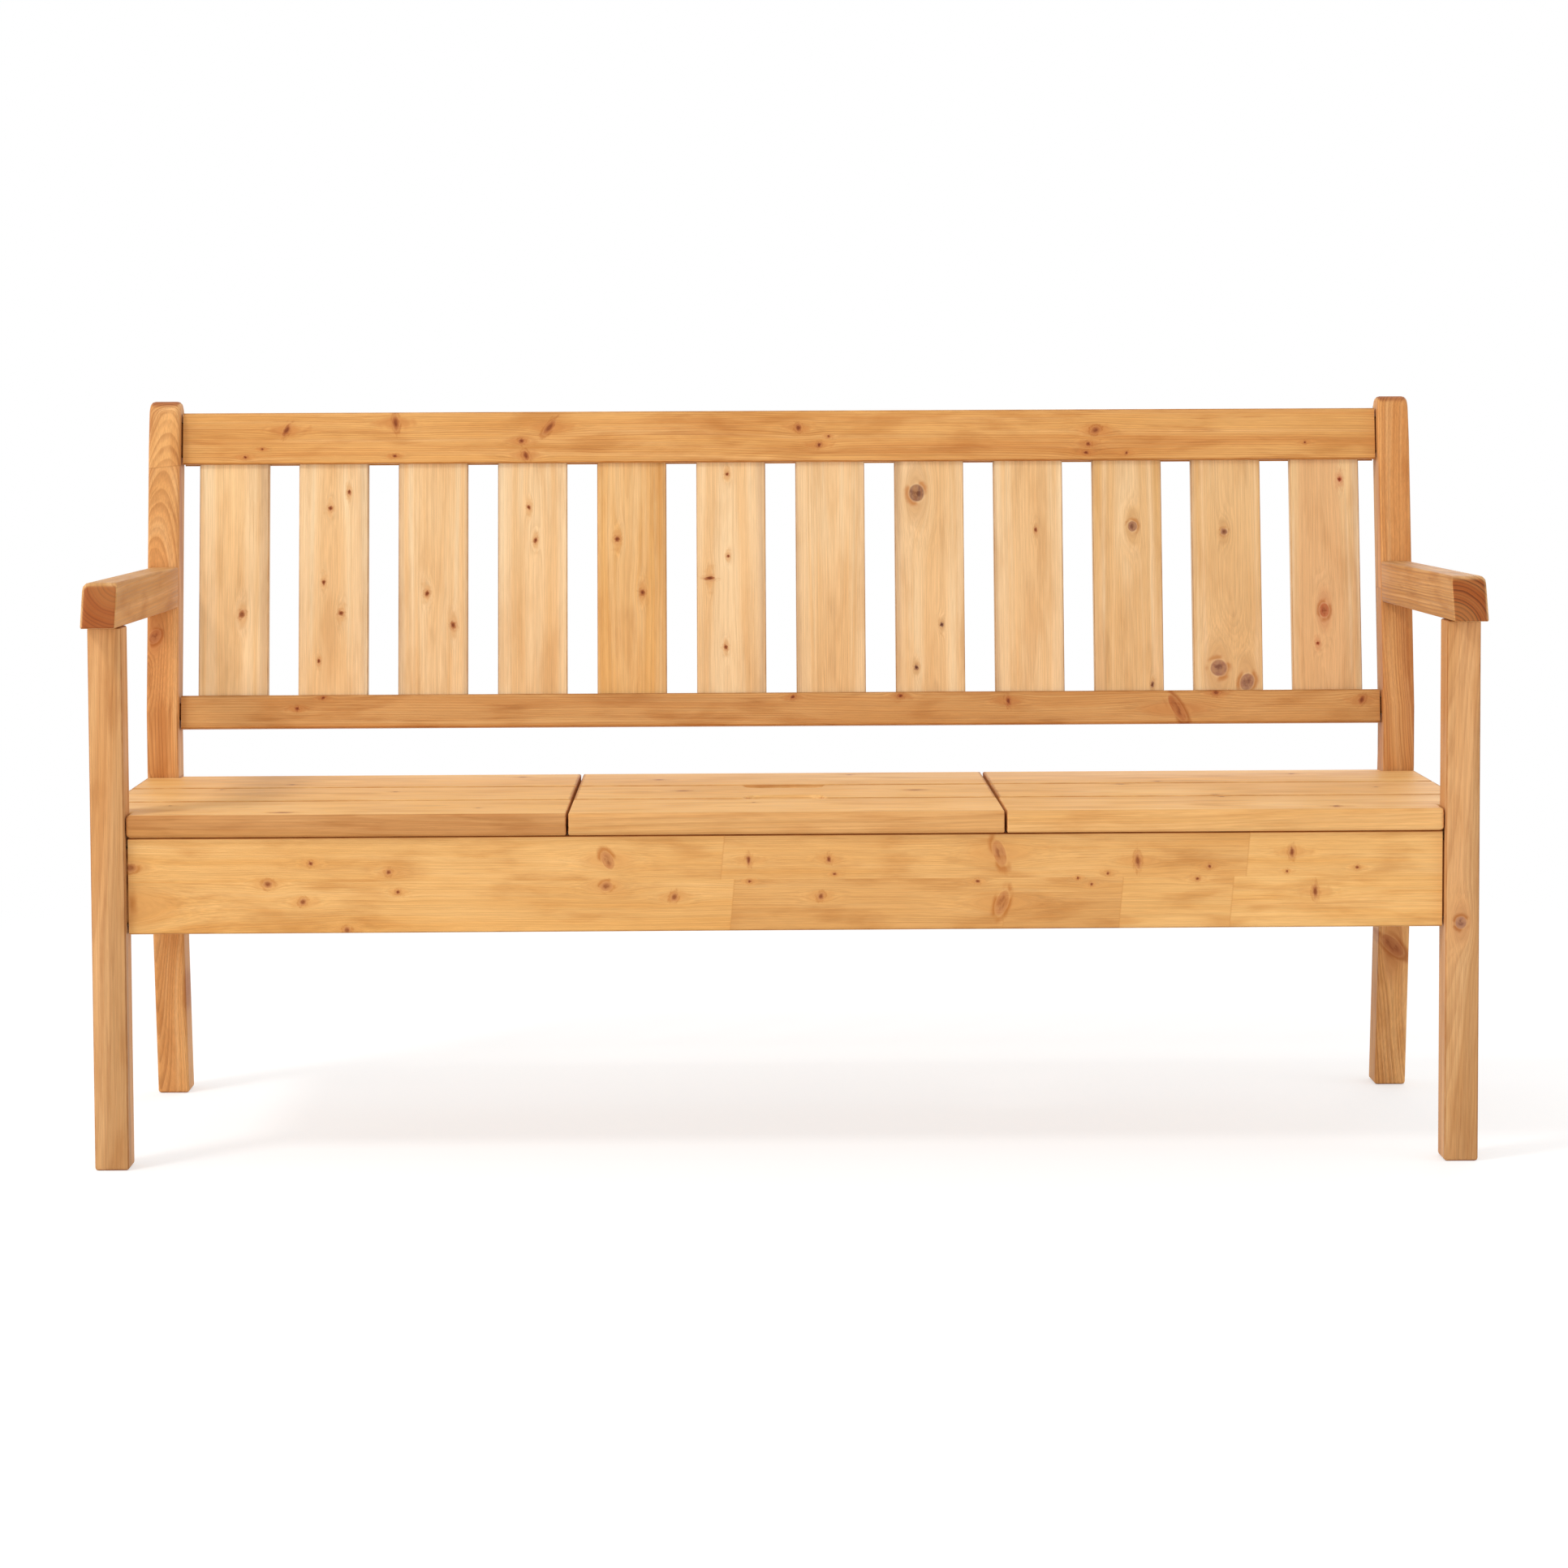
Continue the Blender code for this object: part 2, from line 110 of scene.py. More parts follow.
# Camera that took the photograph: its place, its turns in degrees and its lens, for a square frame.
CAMERA_PLACE = Vector((-0.058, -4.6451, 0.970))
CAMERA_YAW, CAMERA_PITCH, CAMERA_ROLL = -0.730, 3.179, 0.257
FRAME_PIXELS = 1932
FOCAL_PIXELS = 4427
HORIZON_ROW = 715.8
SENSOR_WIDTH = 36.0

# Soft lights: place, height of the point that they face, width of the disc and power.
LIGHTS = {
    "key_light": ((0.7, -5.2, 1.0), 0.4, 2.6, 46),
    "side_light": ((-3.3, -2.5, 4.8), 0.5, 1.2, 105),
    "left_wall_light": ((-5.0, -1.6, 1.2), 0.5, 3.0, 64),
    "right_wall_light": ((5.0, -1.6, 1.2), 0.5, 3.0, 28),
    "fill_light": ((1.6, 4.0, 3.4), 0.5, 3.2, 40),
}
ROOM_LIGHT = 0.77
WHITE = (1, 1, 1, 1)

# Floor: half its size, the light that it throws back, and how it shows near the bench, where it keeps the shadow.
FLOOR_REACH = 12
FLOOR_BOUNCE = (0.8, 0.8, 0.8, 1)
FLOOR_GREY = (0.5, 0.5, 0.5, 1)
FLOOR_GLOW = 0.56
SHADOW_REACH, WHITE_REACH = 1.1, 2.4


def stain(red, green, blue):
    """Linear colour with full alpha from a colour as the eye names it, 0 to 255."""
    def linear(value):
        share = value / 255
        return share / 12.92 if share <= 0.04045 else ((share + 0.055) / 1.055) ** 2.4
    return (linear(red), linear(green), linear(blue), 1.0)


class Wiring:
    """Places nodes in one node tree and joins them."""

    def __init__(self, tree):
        self.tree = tree

    def feed(self, socket, value):
        if isinstance(value, bpy.types.NodeSocket):
            self.tree.links.new(value, socket)
        elif value is not None:
            socket.default_value = value

    def put(self, kind, *values, **settings):
        node = self.tree.nodes.new("ShaderNode" + kind)
        for setting, choice in settings.items():
            setattr(node, setting, choice)
        for socket, value in zip(node.inputs, values):
            self.feed(socket, value)
        return node

    def maths(self, operation, *values):
        return self.put("Math", *values, operation=operation).outputs[0]

    def vector(self, operation, *values):
        return self.put("VectorMath", *values, operation=operation).outputs["Vector"]

    def length(self, value):
        return self.put("VectorMath", value, operation="LENGTH").outputs["Value"]

    def split(self, value):
        return self.put("SeparateXYZ", value).outputs

    def join(self, x, y, z):
        return self.put("CombineXYZ", x, y, z).outputs[0]

    def step(self, value, low, high, bottom=0.0, top=1.0):
        """Goes softly from bottom to top as the value goes from low to high."""
        node = self.put("MapRange", value, low, high, bottom, top, interpolation_type="SMOOTHSTEP")
        return node.outputs[0]

    def between(self, share, start, end):
        """Goes evenly from start to end as the share goes from 0 to 1."""
        return self.maths("MULTIPLY_ADD", share, end - start, start)

    def offset(self, value, amount):
        """What a noise, which lies round one half, adds or takes."""
        return self.maths("MULTIPLY", self.maths("SUBTRACT", value, 0.5), amount)

    def noise(self, place, stretch, seed, detail):
        node = self.put("TexNoise", noise_dimensions="4D")
        self.feed(node.inputs["Vector"], self.vector("MULTIPLY", place, stretch))
        self.feed(node.inputs["W"], seed)
        self.feed(node.inputs["Scale"], 1.0)
        self.feed(node.inputs["Detail"], detail)
        return node.outputs[0]

    def chance(self, seed):
        node = self.put("TexWhiteNoise", noise_dimensions="1D")
        self.feed(node.inputs["W"], seed)
        return node.outputs

    def mix(self, share, under, over, blend="MIX"):
        node = self.put("Mix", data_type="RGBA", blend_type=blend)
        for number, value in ((0, share), (6, under), (7, over)):
            self.feed(node.inputs[number], value)
        return node.outputs[2]

    def group(self, tree, **values):
        node = self.put("Group")
        node.node_tree = tree
        for label, value in values.items():
            self.feed(node.inputs[label.replace("_", " ")], value)
        return node.outputs


def shader_group(name, inputs, outputs):
    """New node group with named sockets: its wiring, its inputs and its outputs."""
    tree = bpy.data.node_groups.new(name, "ShaderNodeTree")
    for direction, labels in (("INPUT", inputs), ("OUTPUT", outputs)):
        for label, kind in labels.items():
            tree.interface.new_socket(label, in_out=direction, socket_type="NodeSocket" + kind)
    source = tree.nodes.new("NodeGroupInput")
    target = tree.nodes.new("NodeGroupOutput")
    return Wiring(tree), source.outputs, target.inputs


# Finger joints: how they lean, how far off in the tree the timber past them comes from, and the glue line's width.
JOINT_LEAN = 0.09
JOINT_SHIFT = (1.5, 0.045, 0.045)
GLUE_LINE = (1.4 * MM, 0.4 * MM)


def make_finger_joint():
    """Timber glued end to end: past the joint, and between two heights of the board, the grain is another tree's.
    The shifts and tones of the joints before it are carried on. On some boards its step in tone lays painted light,
    on others a painted shadow."""
    w, given, result = shader_group(
        "finger joint",
        {"Place": "Vector", "Shift": "Vector", "Line": "Float", "Tone": "Float", "Joint": "Float", "Low": "Float",
         "High": "Float", "Step": "Float", "Seed": "Float"},
        {"Shift": "Vector", "Line": "Float", "Tone": "Float"})
    along, across = w.split(given["Place"])[:2]
    band = w.maths("MULTIPLY", w.maths("GREATER_THAN", across, given["Low"]),
                   w.maths("LESS_THAN", across, given["High"]))
    lean = w.maths("MULTIPLY", across, JOINT_LEAN)
    past = w.maths("SUBTRACT", w.maths("SUBTRACT", along, lean), given["Joint"])
    beyond = w.maths("MULTIPLY", band, w.maths("GREATER_THAN", past, 0.0))
    other_tree = w.vector("SUBTRACT", w.chance(given["Seed"])["Color"], (0.5, 0.5, 0.5))
    move = w.vector("MULTIPLY", other_tree, JOINT_SHIFT)
    move = w.vector("MULTIPLY", move, w.join(beyond, beyond, beyond))
    w.feed(result["Shift"], w.vector("ADD", given["Shift"], move))
    near = w.step(w.maths("ABSOLUTE", past), *GLUE_LINE)
    w.feed(result["Line"], w.maths("MAXIMUM", given["Line"], w.maths("MULTIPLY", near, band)))
    w.feed(result["Tone"], w.maths("ADD", given["Tone"], w.maths("MULTIPLY", given["Step"], beyond)))
    return w.tree


# Parts of a knot, in its radii from its middle: where each fades in and where it fades out.
BARK_IN, BARK_OUT = (0.74, 0.95), (1.62, 1.06)
RIM_IN, RIM_OUT = (0.76, 0.87), (1.04, 0.92)
HEART_OUT, GLOW_OUT = (0.68, 0.22), (1.9, 0.6)
# Knots of LARGE_KNOT and more are smooth and show their bark, those of half its radius and less are ragged dark spots.
# The next values are for a large knot and for a small one.
LARGE_KNOT = 8 * MM
RAGGED = (0.25, 1.6)
BODY_OUT, BODY_FULL = (0.95, 1.05), (0.74, 0.55)
BODY_LEAST, BARK_MOST = (0.70, 1.0), (1.0, 0.45)
HEART_LEAST, HEART_MOST = (0.2, 1.0), (0.65, 1.0)
FLARE = (0.3, 1.8)
# Noises round a knot, per radius, and how far apart in them the knots of a board lie.
KNOT_SWAY, KNOT_SPIKES = (0.55, 0.55, 1), (1.8, 1.8, 1)
SWAY_SEED, SPIKES_SEED = 3.0, 5.0
KNOT_APART = (700, 700, 0)
# Where in these noises the mottled body, the cracked heart and the side with bark lie.
MOTTLED, CRACKED, BARK_SIDE = (0.36, 0.62), (0.40, 0.60), (0.38, 0.54)
# How the grain runs round a knot: how much further along it than across, how far aside and how far up.
GRAIN_REACH, GRAIN_ASIDE, GRAIN_FALL, GRAIN_SWELL = 1.4, 0.9, -0.3, 0.7


def make_pine_knot():
    """One branch through the board: the grain runs round it, and the marks of the ones before it are carried on.
    Marks are its body, its bark and the pale wood between them. Tints are its dark heart and the warm wood around."""
    w, given, result = shader_group(
        "pine knot",
        {"Place": "Vector", "Marks": "Vector", "Tints": "Vector", "Centre": "Vector", "Radius": "Float",
         "Stretch": "Float", "Lean": "Float"},
        {"Place": "Vector", "Marks": "Vector", "Tints": "Vector"})
    radius = given["Radius"]
    along, across = w.split(w.vector("SUBTRACT", given["Place"], given["Centre"]))[:2]
    cosine, sine = w.maths("COSINE", given["Lean"]), w.maths("SINE", given["Lean"])
    lengthwise = w.maths("ADD", w.maths("MULTIPLY", along, cosine), w.maths("MULTIPLY", across, sine))
    sidewise = w.maths("SUBTRACT", w.maths("MULTIPLY", across, cosine), w.maths("MULTIPLY", along, sine))
    lengthwise = w.maths("DIVIDE", w.maths("DIVIDE", lengthwise, given["Stretch"]), radius)
    spot = w.join(lengthwise, w.maths("DIVIDE", sidewise, radius), 0.0)
    own = w.vector("ADD", spot, w.vector("MULTIPLY", given["Centre"], KNOT_APART))
    sway = w.noise(own, KNOT_SWAY, SWAY_SEED, 1.0)
    spikes = w.noise(own, KNOT_SPIKES, SPIKES_SEED, 2.0)
    small = w.maths("MULTIPLY_ADD", radius, -2.0 / LARGE_KNOT, 2.0)
    small = w.maths("MINIMUM", w.maths("MAXIMUM", small, 0.0), 1.0)
    outline = w.maths("ADD", 1.0, w.offset(spikes, w.between(small, *RAGGED)))
    away = w.maths("MULTIPLY", w.length(spot), outline)

    reach = w.maths("DIVIDE", w.maths("DIVIDE", along, w.maths("ADD", given["Stretch"], GRAIN_REACH)), radius)
    wide = w.length(w.join(reach, w.maths("DIVIDE", across, radius), 0.0))
    wide_square = w.maths("MULTIPLY", wide, wide)
    push = w.maths("DIVIDE", GRAIN_ASIDE, w.maths("MAXIMUM", wide_square, 1.0))
    aside = w.maths("MULTIPLY", w.maths("MULTIPLY", across, push), -1.0)
    fall = w.maths("EXPONENT", w.maths("MULTIPLY", wide_square, GRAIN_FALL))
    swell = w.maths("MULTIPLY", w.maths("MULTIPLY", fall, radius), GRAIN_SWELL)
    w.feed(result["Place"], w.vector("ADD", given["Place"], w.join(0.0, aside, swell)))

    body = w.step(away, w.between(small, *BODY_OUT), w.between(small, *BODY_FULL))
    body = w.maths("MULTIPLY", body, w.step(spikes, *MOTTLED, w.between(small, *BODY_LEAST), 1.0))
    bark = w.maths("MULTIPLY", w.step(away, *BARK_IN), w.step(away, *BARK_OUT))
    bark = w.maths("MULTIPLY", bark, w.step(sway, *BARK_SIDE, 0.0, w.between(small, *BARK_MOST)))
    rim = w.maths("MULTIPLY", w.step(away, *RIM_IN), w.step(away, *RIM_OUT))
    heart = w.step(spikes, *CRACKED, w.between(small, *HEART_LEAST), w.between(small, *HEART_MOST))
    heart = w.maths("MULTIPLY", w.step(away, *HEART_OUT), heart)
    flare = w.maths("ADD", 1.0, w.offset(sway, w.between(small, *FLARE)))
    glow = w.step(w.maths("MULTIPLY", wide, flare), *GLOW_OUT)
    w.feed(result["Marks"], w.vector("MAXIMUM", given["Marks"], w.join(body, bark, rim)))
    w.feed(result["Tints"], w.vector("MAXIMUM", given["Tints"], w.join(heart, glow, 0.0)))
    return w.tree


# Figure of pine: how often each part changes per metre along the grain, across it and into the board (or along and out
# from the pith), what it adds to the board's seed, and its detail.
FIGURE = {
    "drift": ((2.6, 11, 11), 0.0, 1.0),
    "ripple": ((7, 75, 75), 11.0, 1.0),
    "good and bad years": ((55, 1, 1), 5.0, 1.0),
    "amber": ((1.2, 62, 1), 21.0, 3.0),
    "pale": ((1.8, 120, 1), 27.0, 3.0),
    "cloud": ((4.5, 14, 14), 31.0, 3.0),
    "smear": ((9, 42, 42), 37.0, 4.0),
    "vein": ((1.6, 95, 1), 39.0, 2.0),
    "lines": ((3, 800, 800), 41.0, 3.0),
    "flecks": ((40, 1400, 1400), 47.0, 1.0),
}
# From where to where in its noise each part of the figure comes out.
AMBER_BAND, PALE_BAND, FIBRE_BAND = (0.46, 0.74), (0.48, 0.72), (0.34, 0.66)
CLOUD_BAND, SMEAR_BAND, VEINED_BAND = (0.36, 0.70), (0.46, 0.70), (0.36, 0.58)
VEIN_MIDDLE, VEIN_WIDTH = 0.54, 0.022
LINES_SHARE, FLECKS_SHARE = 0.62, 0.38
CLOUD_BEND = 0.05
# Rings: ripple in ring widths, shift by good and bad years in rings, late wood in the ring, and its strength.
RIPPLE_SHARE = 0.35
YEARS_SHIFT = 3.0
LATE_IN, LATE_OUT = (0.25, 0.86), (1.0, 0.90)
LATE_LEAST, LATE_SPREAD = 0.3, 0.7
# Edge of the heartwood, and the share of its radius within which it is amber.
HEART_EDGE = (3.5 * MM, -3.5 * MM)
CORE_SHARE, CORE_EDGE, CORE_AMBER = 0.82, (2.5 * MM, -1.5 * MM), 0.6
GRAIN_MASKS = ("Late", "Heart", "Amber", "Pale", "Cloud", "Smear", "Vein", "Fibre")


def make_pine_grain():
    """Growth rings round a pith beside the board, with the fibre, streaks and clouds along them."""
    w, given, result = shader_group(
        "pine grain",
        {"Place": "Vector", "Shift": "Vector", "Pith": "Vector", "Heartwood": "Float", "Ring width": "Float",
         "Taper": "Float", "Wander": "Float", "Seed": "Float"},
        {mask: "Float" for mask in GRAIN_MASKS})
    seed, ring_width, heartwood = given["Seed"], given["Ring width"], given["Heartwood"]

    def figure(part, where):
        stretch, number, detail = FIGURE[part]
        return w.noise(where, stretch, w.maths("ADD", seed, number), detail)

    place = w.vector("ADD", given["Place"], given["Shift"])
    along, across, depth = w.split(w.vector("SUBTRACT", place, given["Pith"]))
    radius = w.length(w.join(0.0, across, depth))
    radius = w.maths("ADD", radius, w.maths("MULTIPLY", along, given["Taper"]))
    radius = w.maths("ADD", radius, w.offset(figure("drift", place), given["Wander"]))
    ripple = w.offset(figure("ripple", place), w.maths("MULTIPLY", ring_width, RIPPLE_SHARE))
    radius = w.maths("ADD", radius, ripple)

    uneven = figure("good and bad years", w.join(radius, 0.0, 0.0))
    ring = w.maths("ADD", w.maths("DIVIDE", radius, ring_width), w.maths("MULTIPLY", uneven, YEARS_SHIFT))
    share = w.maths("FRACT", ring)
    year = w.chance(w.maths("ADD", w.maths("FLOOR", ring), seed))
    strength = w.maths("ADD", LATE_LEAST, w.maths("MULTIPLY", year["Value"], LATE_SPREAD))
    late = w.maths("MULTIPLY", w.step(share, *LATE_IN), w.step(share, *LATE_OUT))
    w.feed(result["Late"], w.maths("MULTIPLY", late, strength))

    w.feed(result["Heart"], w.step(w.maths("SUBTRACT", radius, heartwood), *HEART_EDGE))
    path = w.join(along, radius, 0.0)
    inmost = w.maths("SUBTRACT", radius, w.maths("MULTIPLY", heartwood, CORE_SHARE))
    core = w.step(inmost, *CORE_EDGE, 0.0, CORE_AMBER)
    w.feed(result["Amber"], w.maths("MAXIMUM", w.step(figure("amber", path), *AMBER_BAND), core))
    w.feed(result["Pale"], w.step(figure("pale", path), *PALE_BAND))
    cloud = figure("cloud", place)
    w.feed(result["Cloud"], w.step(cloud, *CLOUD_BAND))
    smear = figure("smear", w.vector("ADD", place, w.join(0.0, w.maths("MULTIPLY", cloud, CLOUD_BEND), 0.0)))
    w.feed(result["Smear"], w.step(smear, *SMEAR_BAND))
    vein = w.maths("ABSOLUTE", w.maths("SUBTRACT", figure("vein", path), VEIN_MIDDLE))
    vein = w.step(vein, VEIN_WIDTH, 0.0)
    w.feed(result["Vein"], w.maths("MULTIPLY", vein, w.step(smear, *VEINED_BAND)))
    fibre = w.maths("ADD", w.maths("MULTIPLY", figure("lines", place), LINES_SHARE),
                    w.maths("MULTIPLY", figure("flecks", place), FLECKS_SHARE))
    w.feed(result["Fibre"], w.step(fibre, *FIBRE_BAND))
    return w.tree


# How far a face's normal lies along the grain where it starts to be end grain, and where it is.
END_GRAIN = (0.55, 0.85)


def make_board_ends_and_tenon_shadow():
    """End grain of a board, and the painted shadow on its tenons, which begin at its shoulders and lie in their joints'
    gaps.
    """
    w, given, result = shader_group(
        "board ends and tenon shadow", {"Place": "Vector", "Normal": "Vector", "Shoulder": "Float", "Tone": "Float"},
        {"End": "Float", "Tone": "Float"})
    w.feed(result["End"], w.step(w.maths("ABSOLUTE", w.split(given["Normal"])[0]), *END_GRAIN))
    from_middle = w.maths("ABSOLUTE", w.split(given["Place"])[0])
    tenon = w.maths("GREATER_THAN", from_middle, given["Shoulder"])
    # Past its shoulders a tenon is darker: painted shadow of the gap that it shows in.
    w.feed(result["Tone"], w.maths("ADD", w.maths("MULTIPLY", tenon, TENON_PAINTED_SHADOW), given["Tone"]))
    return w.tree


# Wear of the arrises: its unevenness per metre, how far that takes its reach, and where in the reach it fades.
SCUFFS, SCUFFS_SEED = (45, 90, 90), 7.0
SCUFFS_LEAST, SCUFFS_SPREAD = 0.4, 1.2
WEAR_EDGE = (0.25, 1.0)


def make_arris_wear():
    """Where two faces of a board meet: the middle one of the distances to its three pairs of faces is small there."""
    w, given, result = shader_group(
        "arris wear", {"Place": "Vector", "Half size": "Vector", "Reach": "Float"}, {"Arris": "Float"})
    a, b, c = w.split(w.vector("SUBTRACT", given["Half size"], w.vector("ABSOLUTE", given["Place"])))
    middle = w.maths("MAXIMUM", w.maths("MINIMUM", a, b), w.maths("MINIMUM", w.maths("MAXIMUM", a, b), c))
    scuffs = w.noise(given["Place"], SCUFFS, SCUFFS_SEED, 2.0)
    uneven = w.maths("ADD", SCUFFS_LEAST, w.maths("MULTIPLY", scuffs, SCUFFS_SPREAD))
    reach = w.maths("MULTIPLY", given["Reach"], uneven)
    w.feed(result["Arris"], w.maths("SUBTRACT", 1.0, w.step(w.maths("DIVIDE", middle, reach), *WEAR_EDGE)))
    return w.tree


STAIN_LAYERS = ("Sap", "Heart", "Amber", "Pale", "Ring", "End", "Knot")
# Shades that darken what they are laid over.
CLOUD_SHADE = stain(236, 222, 200)
SMEAR_SHADE = stain(220, 196, 164)
BURNT_SHADE = stain(206, 164, 118)
DARK_HEART_SHADE = stain(166, 118, 86)
END_RING_SHADE = stain(112, 78, 52)
WORN_SHADE = stain(206, 180, 154)
# How strongly each part shows in the stain.
AMBER_SHARE, PALE_SHARE = 0.8, 0.7
GLOW_SHARE, GLOW_OF_KNOT = 0.6, 0.35
BARK_SHARE, RIM_SHARE = 0.72, 0.15
BODY_SHARE, BODY_RINGS, HEART_SHARE = 0.92, 0.5, 0.9
GLUE_SHARE = 0.3
END_SHARE, END_AMBER, END_RINGS, END_RING_SHARPNESS = 0.92, 0.4, 1.5, 1.6
THREAD_DARK, THREAD_LIGHT = 0.90, 1.06
# One step of tone, and how much more of it goes to green and to blue than to red.
TONE_STEP, TONE_GREEN, TONE_BLUE = 0.16, 1.5, 1.8
# Roughness and relief.
SMOOTHEST, FIBRE_ROUGHNESS, LATE_SMOOTHNESS, END_ROUGHNESS = 0.44, 0.14, 0.06, 0.14
FIBRE_HEIGHT, LATE_HEIGHT, HEART_DEPTH = 0.4, 0.5, 0.6


def make_honey_stain():
    """Colour, roughness and relief of stained pine from the masks of its grain, knots, end grain and arrises."""
    w, given, result = shader_group(
        "honey stain",
        {**{mask: "Float" for mask in GRAIN_MASKS}, "Marks": "Vector", "Tints": "Vector", "End": "Float",
         "Arris": "Float", "Line": "Float", "Tone": "Float", **{layer + " stain": "Color" for layer in STAIN_LAYERS},
         "Ring depth": "Float", "Patchiness": "Float"},
        {"Color": "Color", "Roughness": "Float", "Height": "Float"})
    late, fibre, end = given["Late"], given["Fibre"], given["End"]
    ring_depth, patchiness = given["Ring depth"], given["Patchiness"]

    def lay(share, strength, under, over, blend="MIX"):
        return w.mix(w.maths("MULTIPLY", share, strength), under, over, blend)

    def shade(colour, over):
        return w.mix(1.0, colour, over, "MULTIPLY")

    colour = w.mix(given["Heart"], given["Sap stain"], given["Heart stain"])
    colour = lay(given["Amber"], AMBER_SHARE, colour, given["Amber stain"])
    colour = lay(given["Pale"], PALE_SHARE, colour, given["Pale stain"])
    colour = lay(given["Cloud"], patchiness, colour, CLOUD_SHADE, "MULTIPLY")
    colour = lay(given["Smear"], patchiness, colour, SMEAR_SHADE, "MULTIPLY")
    colour = lay(late, ring_depth, colour, given["Ring stain"])
    colour = lay(given["Vein"], ring_depth, colour, given["Ring stain"])
    thread = w.step(fibre, 0.0, 1.0, THREAD_DARK, THREAD_LIGHT)
    # The tone's steps are the lamellas' own tones, and on some boards painted light and painted shadow.
    tone = w.maths("ADD", 1.0, w.maths("MULTIPLY", given["Tone"], TONE_STEP))
    toned = w.join(tone, w.maths("POWER", tone, TONE_GREEN), w.maths("POWER", tone, TONE_BLUE))
    colour = shade(shade(colour, toned), w.join(thread, thread, thread))

    body, bark, rim = w.split(given["Marks"])
    heart, glow = w.split(given["Tints"])[:2]
    burnt = shade(given["Amber stain"], BURNT_SHADE)
    colour = lay(glow, GLOW_SHARE, colour, w.mix(GLOW_OF_KNOT, given["Amber stain"], given["Knot stain"]))
    colour = lay(bark, BARK_SHARE, colour, burnt)
    colour = lay(rim, RIM_SHARE, colour, given["Pale stain"])
    colour = lay(body, BODY_SHARE, colour, lay(late, BODY_RINGS, given["Knot stain"], burnt))
    colour = lay(heart, HEART_SHARE, colour, shade(given["Knot stain"], DARK_HEART_SHADE))

    colour = lay(given["Line"], GLUE_SHARE, colour, given["Ring stain"])
    end_rings = w.maths("MULTIPLY", ring_depth, END_RINGS)
    end_colour = lay(w.maths("POWER", late, END_RING_SHARPNESS), end_rings, given["End stain"],
                     shade(given["End stain"], END_RING_SHADE))
    end_colour = lay(given["Amber"], END_AMBER, end_colour, given["Amber stain"])
    colour = lay(end, END_SHARE, colour, end_colour)
    w.feed(result["Color"], w.mix(given["Arris"], colour, shade(colour, WORN_SHADE)))

    rough = w.maths("ADD", SMOOTHEST, w.maths("MULTIPLY", fibre, FIBRE_ROUGHNESS))
    rough = w.maths("SUBTRACT", rough, w.maths("MULTIPLY", late, LATE_SMOOTHNESS))
    w.feed(result["Roughness"], w.maths("ADD", rough, w.maths("MULTIPLY", end, END_ROUGHNESS)))
    relief = w.maths("ADD", w.maths("MULTIPLY", fibre, FIBRE_HEIGHT), w.maths("MULTIPLY", late, LATE_HEIGHT))
    w.feed(result["Height"], w.maths("SUBTRACT", relief, w.maths("MULTIPLY", heart, HEART_DEPTH)))
    return w.tree


# Crystals of the zinc per metre, their greys and their sheen.
ZINC_CRYSTALS = 900.0
ZINC_DARK, ZINC_LIGHT = stain(186, 188, 190), stain(222, 224, 226)
ZINC_BAND, ZINC_SMOOTHEST, ZINC_ROUGHEST = (0.3, 0.7), 0.24, 0.42


def make_zinc_mottle():
    """Zinc plating: small crystals of slightly different grey, and a fine grain."""
    w, given, result = shader_group(
        "zinc mottle", {"Place": "Vector"}, {"Color": "Color", "Roughness": "Float", "Height": "Float"})
    cells = w.put("TexVoronoi", feature="F1")
    w.feed(cells.inputs["Vector"], given["Place"])
    w.feed(cells.inputs["Scale"], ZINC_CRYSTALS)
    grain = w.noise(given["Place"], (ZINC_CRYSTALS, ZINC_CRYSTALS, ZINC_CRYSTALS), 2.0, 3.0)
    w.feed(result["Color"], w.mix(w.split(cells.outputs["Color"])[0], ZINC_DARK, ZINC_LIGHT))
    w.feed(result["Roughness"], w.step(grain, *ZINC_BAND, ZINC_SMOOTHEST, ZINC_ROUGHEST))
    w.feed(result["Height"], grain)
    return w.tree


FINGER_JOINT = make_finger_joint()
PINE_KNOT = make_pine_knot()
PINE_GRAIN = make_pine_grain()
BOARD_ENDS_AND_TENON_SHADOW = make_board_ends_and_tenon_shadow()
ARRIS_WEAR = make_arris_wear()
HONEY_STAIN = make_honey_stain()
ZINC_MOTTLE = make_zinc_mottle()

